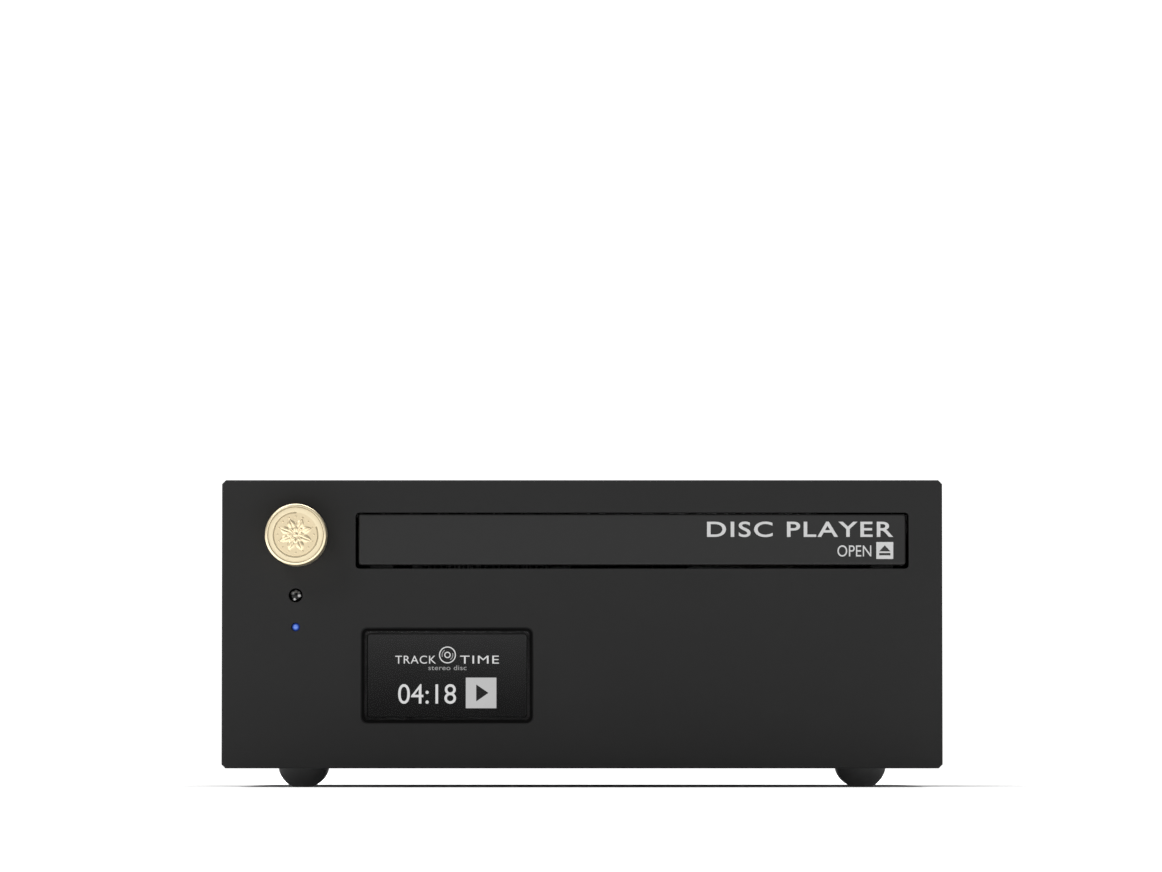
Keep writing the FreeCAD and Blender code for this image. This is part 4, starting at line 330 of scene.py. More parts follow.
class Finish:
    """One material while it is being mixed: its tree, its shader and its Object coordinates."""

    def __init__(self, name):
        self.material = bpy.data.materials.new(name)
        self.material.use_nodes = True
        self.tree = self.material.node_tree
        self.shader = self.tree.nodes["Principled BSDF"]
        self.place = self.tree.nodes.new("ShaderNodeTexCoord").outputs["Object"]

    def effect(self, group, **inputs):
        """Places one of the shared effects, with its own values, and returns its outputs."""
        node = self.tree.nodes.new("ShaderNodeGroup")
        node.node_tree = group
        if "Place" in node.inputs:
            self.tree.links.new(self.place, node.inputs["Place"])
        for key, value in inputs.items():
            feed(self.tree, node.inputs[key], value)
        return node.outputs

    def set(self, **inputs):
        """Feeds the shader's sockets with links or plain values."""
        for key, value in inputs.items():
            feed(self.tree, self.shader.inputs[key.replace("_", " ")], value)

    def constant(self, **values):
        """Sets plain numbers on the shader's own sockets."""
        for key, value in values.items():
            self.shader.inputs[key.replace("_", " ")].default_value = value

    def roughen(self, tone, low, high):
        """Roughness that follows the tone of a grain."""
        return fade(self.tree, tone, 0.2, 0.8, low, high)

    def bump(self, height, strength, distance, normal=None):
        """Raises the surface by a height, over the softened edges when they are given."""
        node = put(self.tree, "ShaderNodeBump", Height=height, Strength=strength, Distance=distance)
        if normal is not None:
            self.tree.links.new(normal, node.inputs["Normal"])
        self.tree.links.new(node.outputs["Normal"], self.shader.inputs["Normal"])

    def from_axis(self, x, z):
        """How far a spot lies from a line that runs front to back through (x, z)."""
        middle = put(self.tree, "ShaderNodeVectorMath", {"operation": "SUBTRACT"}, Vector=self.place)
        middle.inputs[1].default_value = (x, 0.0, z)
        across = scaled_place(self.tree, middle.outputs[0], (1.0, 0.0, 1.0))
        return put(self.tree, "ShaderNodeVectorMath", {"operation": "LENGTH"},
                   Vector=across).outputs["Value"]

    def place_apart(self):
        """The place as its X, Y and Z."""
        apart = self.tree.nodes.new("ShaderNodeSeparateXYZ")
        self.tree.links.new(self.place, apart.inputs[0])
        return apart.outputs


# ---------------------------------------------------------------- finishes

DUST_ON_BLACK = (0.22, 0.21, 0.195, 1.0)
DUST_ON_PLASTIC = (0.24, 0.23, 0.21, 1.0)
DUST_ON_BOARD = (0.25, 0.24, 0.21, 1.0)
DUST_ON_ZINC = (0.30, 0.28, 0.25, 1.0)


def coated_metal(name, dark, light, roughness, specular, grain_scale, grain_depth, wear_and_highlight=0.25, dust=0.0):
    """Black anodised or powder-coated metal with a fine tooth and edges painted a little pale, partly as
    worn edges and partly as a painted highlight.
    """
    f = Finish(name)
    grain = f.effect(FINE_TEXTURE, Scale=grain_scale, Patches=0.35)
    edge = f.effect(EDGE_WEAR_AND_HIGHLIGHT, Width=0.00028, Breakup=0.55)
    smear = f.effect(SMUDGES, Size=55.0)
    tone = paint_over(f.tree, grain["Tone"], grey(dark), grey(light))
    # pale edges: partly worn metal, partly a painted highlight
    rubbed_and_highlit = calc(f.tree, "MULTIPLY", edge["Mask"], wear_and_highlight)
    tone = paint_over(f.tree, rubbed_and_highlit, tone, grey(light * 5.0))
    rough = f.roughen(grain["Tone"], roughness - 0.05, roughness + 0.05)
    rough = calc(f.tree, "SUBTRACT", rough, calc(f.tree, "MULTIPLY", smear["Blots"], 0.035))
    if dust:
        film = f.effect(DUST, Amount=dust)
        tone = paint_over(f.tree, film["Mask"], tone, DUST_ON_BLACK)
        rough = calc(f.tree, "ADD", rough, calc(f.tree, "MULTIPLY", film["Mask"], 0.3), clamp=True)
    f.set(Base_Color=tone, Roughness=rough, Specular_IOR_Level=specular)
    f.bump(grain["Height"], 0.35, grain_depth, edge["Normal"])
    return f.material


def bare_metal(name, dark, light, roughness, stretch, edge_width=0.0002, depth=0.00001, blots=0.12):
    """Plated or drawn metal: fine lines one way, slow blots in its sheen, edges painted bright as worn metal
    and painted highlight.
    """
    f = Finish(name)
    lines = f.effect(BRUSHED, Stretch=stretch)
    edge = f.effect(EDGE_WEAR_AND_HIGHLIGHT, Width=edge_width, Breakup=0.3)
    smear = f.effect(SMUDGES, Size=70.0)
    tone = paint_over(f.tree, lines["Tone"], dark, light)
    # painted highlight: edges paler than the metal, partly as worn plating
    tone = paint_over(f.tree, calc(f.tree, "MULTIPLY", edge["Mask"], 0.5), tone, paler(light, 1.25))
    rough = fade(f.tree, lines["Tone"], 0.0, 1.0, roughness + 0.06, roughness - 0.04)
    rough = calc(f.tree, "ADD", rough, calc(f.tree, "MULTIPLY", smear["Blots"], blots), clamp=True)
    f.set(Base_Color=tone, Roughness=rough, Metallic=1.0)
    f.bump(lines["Height"], 0.25, depth, edge["Normal"])
    return f.material


def moulded(name, dark, light, roughness, scale=3200.0, depth=0.00002, specular=0.5, dust=0.15,
            wear_and_highlight=0.1):
    """Moulded plastic or rubber: a faint mould grain, softened edges painted a little pale as worn edges and
    painted highlight, and a little dust.
    """
    f = Finish(name)
    grain = f.effect(FINE_TEXTURE, Scale=scale, Patches=0.5)
    edge = f.effect(EDGE_WEAR_AND_HIGHLIGHT, Width=0.0003, Breakup=0.6)
    film = f.effect(DUST, Amount=dust)
    tone = paint_over(f.tree, grain["Tone"], dark, light)
    # pale edges: partly worn plastic, partly a painted highlight
    rubbed_and_highlit = calc(f.tree, "MULTIPLY", edge["Mask"], wear_and_highlight)
    tone = paint_over(f.tree, rubbed_and_highlit, tone, paler(light, 1.8, 0.02))
    tone = paint_over(f.tree, film["Mask"], tone, DUST_ON_PLASTIC)
    rough = f.roughen(grain["Tone"], roughness - 0.06, roughness + 0.06)
    rough = calc(f.tree, "ADD", rough, calc(f.tree, "MULTIPLY", film["Mask"], 0.3), clamp=True)
    f.set(Base_Color=tone, Roughness=rough, Specular_IOR_Level=specular)
    f.bump(grain["Height"], 0.3, depth, edge["Normal"])
    return f.material


MEDAL_FIELD_RADIUS = 0.0061                   # inside the broken ring
# pale gold for the knob's edges: burnish and painted highlight
BURNISHED_GOLD = (0.95, 0.86, 0.66, 1.0)


def satin_gold(name, base, deep, roughness, field=None):
    """Satin gold plate: a blasted tooth, painted shade in the hollows, burnished edges that are partly a
    painted highlight, and a field a shade down.
    """
    f = Finish(name)
    if field:
        inside = fade(f.tree, f.from_axis(KNOB_X, KNOB_Z), MEDAL_FIELD_RADIUS + 0.0001,
                      MEDAL_FIELD_RADIUS - 0.0001)
        base = paint_over(f.tree, inside, base, field)
    tooth = f.effect(FINE_TEXTURE, Scale=5200.0, Patches=0.25)
    hollow = f.effect(HOLLOW_SHADE, Reach=0.0011, Strength=1.1)
    edge = f.effect(EDGE_WEAR_AND_HIGHLIGHT, Width=0.00018, Breakup=0.25)
    smear = f.effect(SMUDGES, Size=240.0)
    # painted shade: darker in the hollows of the relief
    tone = paint_over(f.tree, hollow["Mask"], base, deep)
    # edges paler: partly burnished, partly a painted highlight
    tone = paint_over(f.tree, calc(f.tree, "MULTIPLY", edge["Mask"], 0.6), tone, BURNISHED_GOLD)
    rough = f.roughen(tooth["Tone"], roughness - 0.04, roughness + 0.06)
    rough = calc(f.tree, "SUBTRACT", rough, calc(f.tree, "MULTIPLY", edge["Mask"], 0.1))
    rough = calc(f.tree, "ADD", rough, calc(f.tree, "MULTIPLY", smear["Blots"], 0.05))
    f.set(Base_Color=tone, Roughness=rough, Metallic=1.0)
    f.bump(tooth["Height"], 0.3, 0.00001, edge["Normal"])
    return f.material


def printed_ink(name, colour, worn, roughness=0.55, specular=0.5):
    """Screen-printed ink: slightly uneven cover, matte."""
    f = Finish(name)
    grain = f.effect(FINE_TEXTURE, Scale=5200.0, Patches=0.4)
    f.set(Base_Color=paint_over(f.tree, grain["Tone"], worn, colour),
          Roughness=f.roughen(grain["Tone"], roughness - 0.06, roughness + 0.06))
    f.constant(Specular_IOR_Level=specular)
    f.bump(grain["Height"], 0.25, 0.000006)
    return f.material


def lit_dots(name, colour, dim):
    """What the screen shows: light from small dots, each a touch brighter in its middle."""
    f = Finish(name)
    dots = cells(f.tree, f.place, 9000.0, 0.0)
    glow = fade(f.tree, dots["Distance"], 0.2, 0.9, 1.0, 0.0)
    tone = paint_over(f.tree, glow, dim, colour)
    f.set(Base_Color=grey(0.0), Roughness=fade(f.tree, glow, 0.0, 1.0, 0.5, 0.4), Emission_Color=tone)
    f.constant(Emission_Strength=1.0, Specular_IOR_Level=0.0)
    return f.material


def dark_screen_painted_reflection():
    """The dark screen behind the window: black, with a faint glow that fades downwards, a painted reflection
    brightest at the top.
    """
    f = Finish("screen_dark_painted_reflection")
    grain = f.effect(FINE_TEXTURE, Scale=3000.0, Patches=0.6)
    # painted reflection: the glow grows towards the top of the screen
    up = fade(f.tree, f.place_apart()["Z"], SCREEN_LOW.z, SCREEN_HIGH.z)
    painted_reflection_curve = calc(f.tree, "POWER", up, 1.25)
    tone = paint_over(f.tree, painted_reflection_curve, (0.0105, 0.0106, 0.0107, 1.0), (0.044, 0.0443, 0.0446, 1.0))
    f.set(Base_Color=grey(0.0), Emission_Color=tone, Roughness=f.roughen(grain["Tone"], 0.3, 0.4))
    f.constant(Emission_Strength=1.0, Specular_IOR_Level=0.0)
    return f.material


def smoked_glass():
    """The window of the display: coated dark glass with a faint smear here and there."""
    f = Finish("smoked_glass")
    smear = f.effect(SMUDGES, Size=120.0)
    tone = paint_over(f.tree, smear["Blots"], grey(0.70), grey(0.67))
    f.set(Base_Color=tone, Roughness=fade(f.tree, smear["Blots"], 0.0, 1.0, 0.0, 0.002))
    f.constant(Metallic=0.0, Transmission_Weight=1.0, IOR=1.13)
    return f.material


def board_green():
    """A circuit board: green mask over darker ground, with routed tracks and plated holes."""
    f = Finish("board_green")
    grain = f.effect(FINE_TEXTURE, Scale=2200.0, Patches=0.5)
    film = f.effect(DUST, Amount=0.3)
    blocks = put(f.tree, "ShaderNodeTexVoronoi", {"feature": "F1", "distance": "MANHATTAN"},
                 Vector=f.place, Scale=160.0, Randomness=0.9)
    lanes = stripes(f.tree, f.place, 420.0, "X")
    lanes.inputs["Distortion"].default_value = 3.0
    lanes.inputs["Detail"].default_value = 0.0
    lane = fade(f.tree, lanes.outputs["Fac"], 0.55, 0.62)
    near = fade(f.tree, blocks.outputs["Distance"], 0.42, 0.40)
    route = calc(f.tree, "MULTIPLY", lane, near)
    hole = fade(f.tree, cells(f.tree, f.place, 230.0)["Distance"], 0.13, 0.10)
    tone = paint_over(f.tree, grain["Tone"], (0.006, 0.045, 0.020, 1.0), (0.010, 0.065, 0.030, 1.0))
    tone = paint_over(f.tree, route, tone, (0.022, 0.12, 0.055, 1.0))
    tone = paint_over(f.tree, hole, tone, (0.62, 0.60, 0.55, 1.0))
    tone = paint_over(f.tree, film["Mask"], tone, DUST_ON_BOARD)
    f.set(Base_Color=tone, Roughness=f.roughen(grain["Tone"], 0.28, 0.4),
          Metallic=calc(f.tree, "MULTIPLY", hole, 0.9))
    f.bump(calc(f.tree, "ADD", route, hole), 0.5, 0.00004)
    return f.material


def zinc_plate():
    """Zinc-plated sheet: cool grey with soft spangles, edges painted brighter as worn plate and painted
    highlight, and dust on top.
    """
    f = Finish("zinc_plate")
    apart = f.tree.nodes.new("ShaderNodeSeparateColor")
    f.tree.links.new(cells(f.tree, f.place, 260.0)["Color"], apart.inputs[0])
    grain = f.effect(FINE_TEXTURE, Scale=1800.0, Patches=0.5)
    edge = f.effect(EDGE_WEAR_AND_HIGHLIGHT, Width=0.00025, Breakup=0.3)
    film = f.effect(DUST, Amount=0.35)
    tone = paint_over(f.tree, apart.outputs[0], (0.33, 0.34, 0.35, 1.0), (0.46, 0.47, 0.48, 1.0))
    # painted highlight: edges paler than the sheet, partly as worn plating
    tone = paint_over(f.tree, calc(f.tree, "MULTIPLY", edge["Mask"], 0.5), tone, grey(0.7))
    tone = paint_over(f.tree, film["Mask"], tone, DUST_ON_ZINC)
    rough = fade(f.tree, apart.outputs[1], 0.0, 1.0, 0.3, 0.5)
    rough = calc(f.tree, "ADD", rough, calc(f.tree, "MULTIPLY", grain["Tone"], 0.08))
    f.set(Base_Color=tone, Metallic=0.95, Roughness=rough)
    f.bump(grain["Height"], 0.2, 0.00001, edge["Normal"])
    return f.material


def laminations():
    """A stack of thin varnished sheets, with the dark joints between them."""
    f = Finish("core_laminations")
    sheet = stripes(f.tree, f.place, 620.0, "X")
    grain = f.effect(FINE_TEXTURE, Scale=900.0, Patches=0.6)
    joint = fade(f.tree, sheet.outputs["Fac"], 0.25, 0.05)
    tone = paint_over(f.tree, grain["Tone"], (0.05, 0.045, 0.04, 1.0), (0.12, 0.11, 0.10, 1.0))
    tone = paint_over(f.tree, joint, tone, grey(0.008))
    f.set(Base_Color=tone, Metallic=0.7, Roughness=f.roughen(grain["Tone"], 0.4, 0.6))
    f.bump(sheet.outputs["Fac"], 0.4, 0.00008)
    return f.material


def winding_tape():
    """Yellow winding tape in overlapping turns."""
    f = Finish("winding_tape")
    turn = stripes(f.tree, f.place, 45.0, "Z", wave_profile="SAW")
    turn.inputs["Distortion"].default_value = 0.6
    grain = f.effect(FINE_TEXTURE, Scale=1500.0, Patches=0.5)
    tone = paint_over(f.tree, grain["Tone"], (0.42, 0.27, 0.035, 1.0), (0.55, 0.37, 0.06, 1.0))
    tone = paint_over(f.tree, fade(f.tree, turn.outputs["Fac"], 0.9, 1.0), tone, (0.24, 0.15, 0.02, 1.0))
    f.set(Base_Color=tone, Roughness=f.roughen(grain["Tone"], 0.25, 0.38))
    f.bump(turn.outputs["Fac"], 0.5, 0.0001)
    return f.material


WIRE_PITCH = 0.00128          # from one wire of the ribbon to the next


def flat_cable():
    """Grey ribbon cable: round wires side by side, one of them marked red."""
    f = Finish("flat_cable")
    wires = stripes(f.tree, f.place, 247.0, "X")
    marked_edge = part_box("ribbon_cable")[0].x + WIRE_PITCH
    marked = fade(f.tree, f.place_apart()["X"], marked_edge, marked_edge - 0.0001)
    tone = paint_over(f.tree, wires.outputs["Fac"], grey(0.16), (0.42, 0.42, 0.41, 1.0))
    tone = paint_over(f.tree, marked, tone, (0.45, 0.02, 0.015, 1.0))
    f.set(Base_Color=tone, Roughness=fade(f.tree, wires.outputs["Fac"], 0.0, 1.0, 0.55, 0.4))
    f.bump(wires.outputs["Fac"], 0.8, 0.0003)
    return f.material


LAMP_HEART = (0.21, 0.38, 1.0, 1.0)
LAMP_MIDDLE = (0.05, 0.12, 0.55, 1.0)
LAMP_RIM = (0.004, 0.014, 0.11, 1.0)


def lamp_lens():
    """The blue lamp: lit from inside, palest in its middle and dark at its rim."""
    f = Finish("lamp_blue")
    away = f.from_axis((LAMP_LOW.x + LAMP_HIGH.x) / 2, (LAMP_LOW.z + LAMP_HIGH.z) / 2)
    grain = f.effect(FINE_TEXTURE, Scale=4200.0, Patches=0.5)
    tone = paint_over(f.tree, fade(f.tree, away, 0.00035, 0.00085), LAMP_HEART, LAMP_MIDDLE)
    tone = paint_over(f.tree, fade(f.tree, away, 0.0007, 0.00108), tone, LAMP_RIM)
    f.set(Base_Color=(0.01, 0.03, 0.2, 1.0), Emission_Color=tone,
          Roughness=f.roughen(grain["Tone"], 0.12, 0.2))
    f.constant(Emission_Strength=0.58, Coat_Weight=0.15)
    return f.material


def glossy_lens(name, tone, specular, coat):
    """A glossy lens with a clear skin and a faint smear."""
    f = Finish(name)
    smear = f.effect(SMUDGES, Size=300.0)
    f.set(Base_Color=tone(f, smear["Blots"]), Roughness=fade(f.tree, smear["Blots"], 0.0, 1.0, 0.03, 0.08))
    f.constant(Specular_IOR_Level=specular, Coat_Weight=coat, Coat_Roughness=0.03)
    return f.material


def reading_lens():
    """The small blue-grey lens that reads the disc."""
    base = (0.10, 0.13, 0.20, 1.0)
    return glossy_lens("lens_clear", lambda f, blots: paint_over(f.tree, blots, base, paler(base, 1.5)),
                       0.5, 1.0)


# painted highlights on the remote eye, from the eye's middle: along, up, reach, how pale
EYE_PAINTED_HIGHLIGHTS = ((0.00102, -0.00008, 0.00056, 0.62), (-0.00030, -0.00112, 0.00046, 0.62),
            (-0.00076, 0.00062, 0.00070, 0.12), (0.00010, 0.00112, 0.00056, 0.10),
            (0.00088, 0.00076, 0.00050, 0.12))


def remote_eye():
    """The remote eye: clear black plastic, with painted highlights as pale spots in its colour."""
    def tone(f, blots):
        colour = paint_over(f.tree, blots, grey(0.002), grey(0.003))
        # painted highlights: pale spots about the eye's middle
        for along, up, reach, pale in EYE_PAINTED_HIGHLIGHTS:
            near = fade(f.tree, f.from_axis(EYE_X + along, EYE_Z + up), reach, reach * 0.35)
            colour = paint_over(f.tree, near, colour, grey(pale))
        return colour
    return glossy_lens("eye_black", tone, 0.16, 0.1)


SLEEVE_Z = 0.0265                             # above this the board's parts are capacitors


def component_mix():
    """Parts on the board: bright can tops, sleeved sides, and black moulded bodies low down."""
    f = Finish("board_parts")
    grain = f.effect(FINE_TEXTURE, Scale=1600.0, Patches=0.5)
    film = f.effect(DUST, Amount=0.3)
    edge = f.effect(EDGE_WEAR_AND_HIGHLIGHT, Width=0.0003, Breakup=0.2)
    geometry = f.tree.nodes.new("ShaderNodeNewGeometry")
    facing = put(f.tree, "ShaderNodeSeparateXYZ", Vector=geometry.outputs["Normal"])
    top = fade(f.tree, facing.outputs["Z"], 0.9, 0.99)
    high = fade(f.tree, f.place_apart()["Z"], SLEEVE_Z, SLEEVE_Z + 0.001)
    can = calc(f.tree, "MULTIPLY", top, high)
    sleeve = paint_over(f.tree, grain["Tone"], (0.006, 0.008, 0.02, 1.0), (0.012, 0.016, 0.045, 1.0))
    body = paint_over(f.tree, grain["Tone"], grey(0.008), grey(0.022))
    tone = paint_over(f.tree, high, body, sleeve)
    tone = paint_over(f.tree, can, tone, (0.58, 0.59, 0.6, 1.0))
    tone = paint_over(f.tree, film["Mask"], tone, DUST_ON_BOARD)
    f.set(Base_Color=tone, Metallic=calc(f.tree, "MULTIPLY", can, 0.9),
          Roughness=f.roughen(grain["Tone"], 0.3, 0.45))
    f.bump(grain["Height"], 0.25, 0.00002, edge["Normal"])
    return f.material


# black metal: dark, light, roughness, specular, grain scale, grain depth
PANEL_BLACK = coated_metal("panel_black", 0.0058, 0.0100, 0.60, 0.30, 2100.0, 0.000022, wear_and_highlight=0.22)
# the tray's pale top edge, at full strength, is a painted highlight
TRAY_BLACK = coated_metal("tray_black", 0.0060, 0.0102, 0.52, 0.38, 2300.0, 0.000016, wear_and_highlight=1.0)
CASE_BLACK = coated_metal("case_black", 0.0065, 0.0125, 0.56, 0.34, 1500.0, 0.00004, wear_and_highlight=0.28, dust=0.16)

# bare metal: dark, light, roughness, how its lines are squeezed
SCREW_BLACK = bare_metal("screw_black", (0.035, 0.035, 0.036, 1.0), (0.07, 0.07, 0.072, 1.0), 0.4,
                         (900.0, 900.0, 900.0), 0.00022)
BRIGHT_STEEL = bare_metal("bright_steel", grey(0.42), (0.6, 0.6, 0.59, 1.0), 0.26, (50.0, 2600.0, 2600.0))
TURNED_STEEL = bare_metal("turned_steel", grey(0.4), (0.62, 0.62, 0.61, 1.0), 0.24, (400.0, 400.0, 3600.0))
NUT_BRASS = bare_metal("nut_brass", (0.36, 0.24, 0.09, 1.0), (0.5, 0.35, 0.15, 1.0), 0.3,
                       (700.0, 2400.0, 700.0))
GOLD_PLATE = bare_metal("gold_plate", (0.66, 0.46, 0.17, 1.0), (0.80, 0.58, 0.24, 1.0), 0.2,
                        (600.0, 2600.0, 600.0), 0.00025, blots=0.08)
TIN_PIN = bare_metal("tin_pin", (0.55, 0.53, 0.5, 1.0), (0.7, 0.69, 0.66, 1.0), 0.22,
                     (2200.0, 60.0, 2200.0))
SOCKET_STEEL = bare_metal("socket_steel", (0.30, 0.30, 0.31, 1.0), (0.42, 0.42, 0.43, 1.0), 0.34,
                          (2200.0, 2200.0, 90.0), 0.0004)
MAGNET = bare_metal("magnet_nickel", (0.45, 0.44, 0.42, 1.0), (0.6, 0.59, 0.57, 1.0), 0.18,
                    (900.0, 900.0, 900.0))
ZINC = zinc_plate()
SATIN_GOLD = satin_gold("satin_gold", (0.90, 0.78, 0.54, 1.0), (0.36, 0.28, 0.15, 1.0), 0.36)
MEDAL_GOLD = satin_gold("medal_gold", (0.93, 0.81, 0.56, 1.0), (0.34, 0.26, 0.14, 1.0), 0.35,
                        field=(0.83, 0.70, 0.465, 1.0))

# rubber and plastic: dark, light, roughness, grain scale, grain depth, specular
FOOT_RUBBER = moulded("foot_rubber", grey(0.048), grey(0.062), 0.58, 2600.0, 0.00003, 0.35, dust=0.12)
SOFT_RUBBER = moulded("soft_rubber", grey(0.012), grey(0.022), 0.7, 2400.0, 0.00003, 0.35)
BELT_RUBBER = moulded("belt_rubber", grey(0.010), grey(0.018), 0.5, 2800.0, 0.00002, 0.4)
BLACK_PLASTIC = moulded("black_plastic", grey(0.012), grey(0.020), 0.42, 3000.0)
TRAY_PLASTIC = moulded("tray_plastic", grey(0.013), grey(0.022), 0.40, 2600.0, dust=0.1)
SOCKET_PLASTIC = moulded("socket_plastic", grey(0.010), grey(0.018), 0.34, 3400.0, 0.000015, dust=0.08,
                         wear_and_highlight=0.25)
INSULATOR = moulded("insulator", grey(0.011), grey(0.02), 0.3, 3400.0, 0.00001)
WHITE_PLASTIC = moulded("white_plastic", (0.62, 0.60, 0.55, 1.0), (0.72, 0.70, 0.65, 1.0), 0.36, 2600.0,
                        0.00001)
DISPLAY_FRAME = moulded("display_frame", grey(0.008), grey(0.016), 0.45, 3000.0)

GLASS = smoked_glass()
# the screen's glow carries a painted reflection, brightest at the top
SCREEN = dark_screen_painted_reflection()
BOARD = board_green()
LAMINATIONS = laminations()
WINDING_TAPE = winding_tape()
FLAT_CABLE = flat_cable()
BOARD_PARTS = component_mix()
LAMP_BLUE = lamp_lens()
EYE_BLACK = remote_eye()
LENS_CLEAR = reading_lens()

INK_PALE = printed_ink("ink_pale", grey(0.56), grey(0.50))
INK_LABEL = printed_ink("ink_label", grey(0.50), grey(0.42))
INK_DARK = printed_ink("ink_dark", grey(0.016), grey(0.012))
# near-black, for the painted shade round the display window
PAINTED_SHADE_BLACK = printed_ink("painted_shade_black", grey(0.0045), grey(0.003), 0.7, specular=0.02)
LIT_WHITE = lit_dots("lit_white", grey(1.0), grey(0.9))
LIT_SQUARE = lit_dots("lit_square", grey(0.76), grey(0.70))
LIT_DIM = lit_dots("lit_dim", grey(0.55), grey(0.48))
LIT_DARK = lit_dots("lit_dark", grey(0.030), grey(0.026))

# which CAD nodes each finish goes on
FINISH_OF = (
    (PANEL_BLACK, "front_panel"),
    (TRAY_BLACK, "tray_front"),
    (CASE_BLACK, "top_cover rear_panel"),
    (ZINC, "chassis_base traverse_plate clamp_bridge"),
    (SCREW_BLACK, "case_screws knob_set_screw"),
    (BRIGHT_STEEL, "inner_screws guide_rods encoder_body"),
    (TURNED_STEEL, "spacers encoder_shaft loading_motor feed_motor spindle_motor"),
    (NUT_BRASS, "encoder_nut"),
    (SATIN_GOLD, "knob knob_medal"),
    (FOOT_RUBBER, "feet"),
    (SOFT_RUBBER, "dampers"),
    (BELT_RUBBER, "drive_belt"),
    (GLASS, "display_window"),
    (DISPLAY_FRAME, "display_module"),
    (BOARD, "main_board front_board"),
    (BOARD_PARTS, "board_components"),
    (FLAT_CABLE, "ribbon_cable"),
    (TRAY_PLASTIC, "tray"),
    (BLACK_PLASTIC, "loader_frame clamp_puck clamp_cap lift_carrier turntable pickup_body lens_holder"
                    " drive_gear pulley_gear"),
    (SOCKET_PLASTIC, "power_inlet switch_housing rocker optical_socket optical_flap"),
    (WHITE_PLASTIC, "press_plunger motor_pulley lift_cam pickup_rack feed_gear feed_pinion"),
    (EYE_BLACK, "ir_receiver"),
    (LAMP_BLUE, "status_lamp"),
    (MAGNET, "turntable_magnet"),
    (LENS_CLEAR, "objective_lens"),
    (LAMINATIONS, "transformer_core"),
    (WINDING_TAPE, "transformer_coil"),
    (TIN_PIN, "contact_pins"),
    (SOCKET_STEEL, "balanced_sockets"),
    (GOLD_PLATE, "phono_shells"),
    (INSULATOR, "phono_insulators"),
)


def dress(piece, material):
    """Gives a whole piece one material."""
    piece.data.materials.clear()
    piece.data.materials.append(material)


for finish, node_names in FINISH_OF:
    for node_name in node_names.split():
        for slot in NODES[node_name].material_slots:
            slot.material = finish


# ---------------------------------------------------------------- modelling, as by hand

def clear_selection():
    """Nothing selected, in object mode."""
    if bpy.context.object and bpy.context.object.mode != "OBJECT":
        bpy.ops.object.mode_set(mode="OBJECT")
    bpy.ops.object.select_all(action="DESELECT")


def keep_new(name):
    """Names the primitive just added and puts its place into its mesh."""
    piece = bpy.context.object
    piece.name = piece.data.name = name
    bpy.ops.object.transform_apply(location=True, rotation=True, scale=True)
    return piece


def edit(piece):
    """Into edit mode on this piece alone, picking faces."""
    clear_selection()
    bpy.context.view_layer.objects.active = piece
    piece.select_set(True)
    bpy.ops.object.mode_set(mode="EDIT")
    bpy.ops.mesh.select_mode(type="FACE")


def done():
    """Out of edit mode."""
    bpy.ops.object.mode_set(mode="OBJECT")


def pick_faces(piece, wanted):
    """In edit mode: selects the faces whose middle and normal pass the test."""
    mesh = bmesh.from_edit_mesh(piece.data)
    for face in mesh.faces:
        face.select = False
    for face in mesh.faces:
        if wanted(face.calc_center_median(), face.normal):
            face.select = True
    mesh.select_flush(True)
    bmesh.update_edit_mesh(piece.data)


def pick_edges(piece, wanted):
    """In edit mode: selects the edges whose two ends pass the test."""
    bpy.ops.mesh.select_mode(type="EDGE")
    mesh = bmesh.from_edit_mesh(piece.data)
    for edge in mesh.edges:
        edge.select = False
    for edge in mesh.edges:
        edge.select = wanted(edge.verts[0].co, edge.verts[1].co)
    mesh.select_flush(True)
    bmesh.update_edit_mesh(piece.data)


def inset(thickness):
    """Insets the selected region by this much."""
    bpy.ops.mesh.inset(thickness=thickness, depth=0.0, use_boundary=True)


def push(amount):
    """Extrudes the selected region along its normal by amount."""
    bpy.ops.mesh.extrude_region_shrink_fatten(
        TRANSFORM_OT_shrink_fatten={"value": amount, "use_even_offset": False})


def bevel(offset, segments):
    """Rounds the selected edges."""
    bpy.ops.mesh.bevel(offset=offset, segments=segments, affect="EDGES")


def join(pieces, name):
    """Several pieces as one."""
    clear_selection()
    for piece in pieces:
        piece.select_set(True)
    bpy.context.view_layer.objects.active = pieces[0]
    if len(pieces) > 1:
        bpy.ops.object.join()
    whole = bpy.context.object
    whole.name = whole.data.name = name
    return whole


def smooth(piece, angle):
    """Shades it smooth but for edges sharper than the angle, in degrees."""
    clear_selection()
    piece.select_set(True)
    bpy.context.view_layer.objects.active = piece
    bpy.ops.object.shade_smooth_by_angle(angle=math.radians(angle))


def settle(piece, material, body, replaces=()):
    """Last step for a piece: its finish, its body and what it stands for."""
    dress(piece, material)
    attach(piece, body)
    if replaces:
        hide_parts(*replaces)
    return piece


def place_copy(piece, matrix):
    """A copy with its own mesh, moved by the matrix."""
    twin = piece.copy()
    twin.data = piece.data.copy()
    bpy.context.scene.collection.objects.link(twin)
    twin.data.transform(matrix)
    return twin


FACING_FRONT = Matrix.Rotation(math.radians(90), 4, "X")
FACING_REAR = Matrix.Rotation(math.radians(180), 4, "Z") @ FACING_FRONT


INK_THICK = 0.00002
TEXT_EXTRUDE = 0.01           # half the thickness that the text starts with


def empty_sheet(name):
    """A new plane in edit mode with its corners taken off, ready for points of its own."""
    clear_selection()
    bpy.ops.mesh.primitive_plane_add(size=1.0)
    piece = keep_new(name)
    edit(piece)
    mesh = bmesh.from_edit_mesh(piece.data)
    bmesh.ops.delete(mesh, geom=mesh.verts[:], context="VERTS")
    return piece, mesh


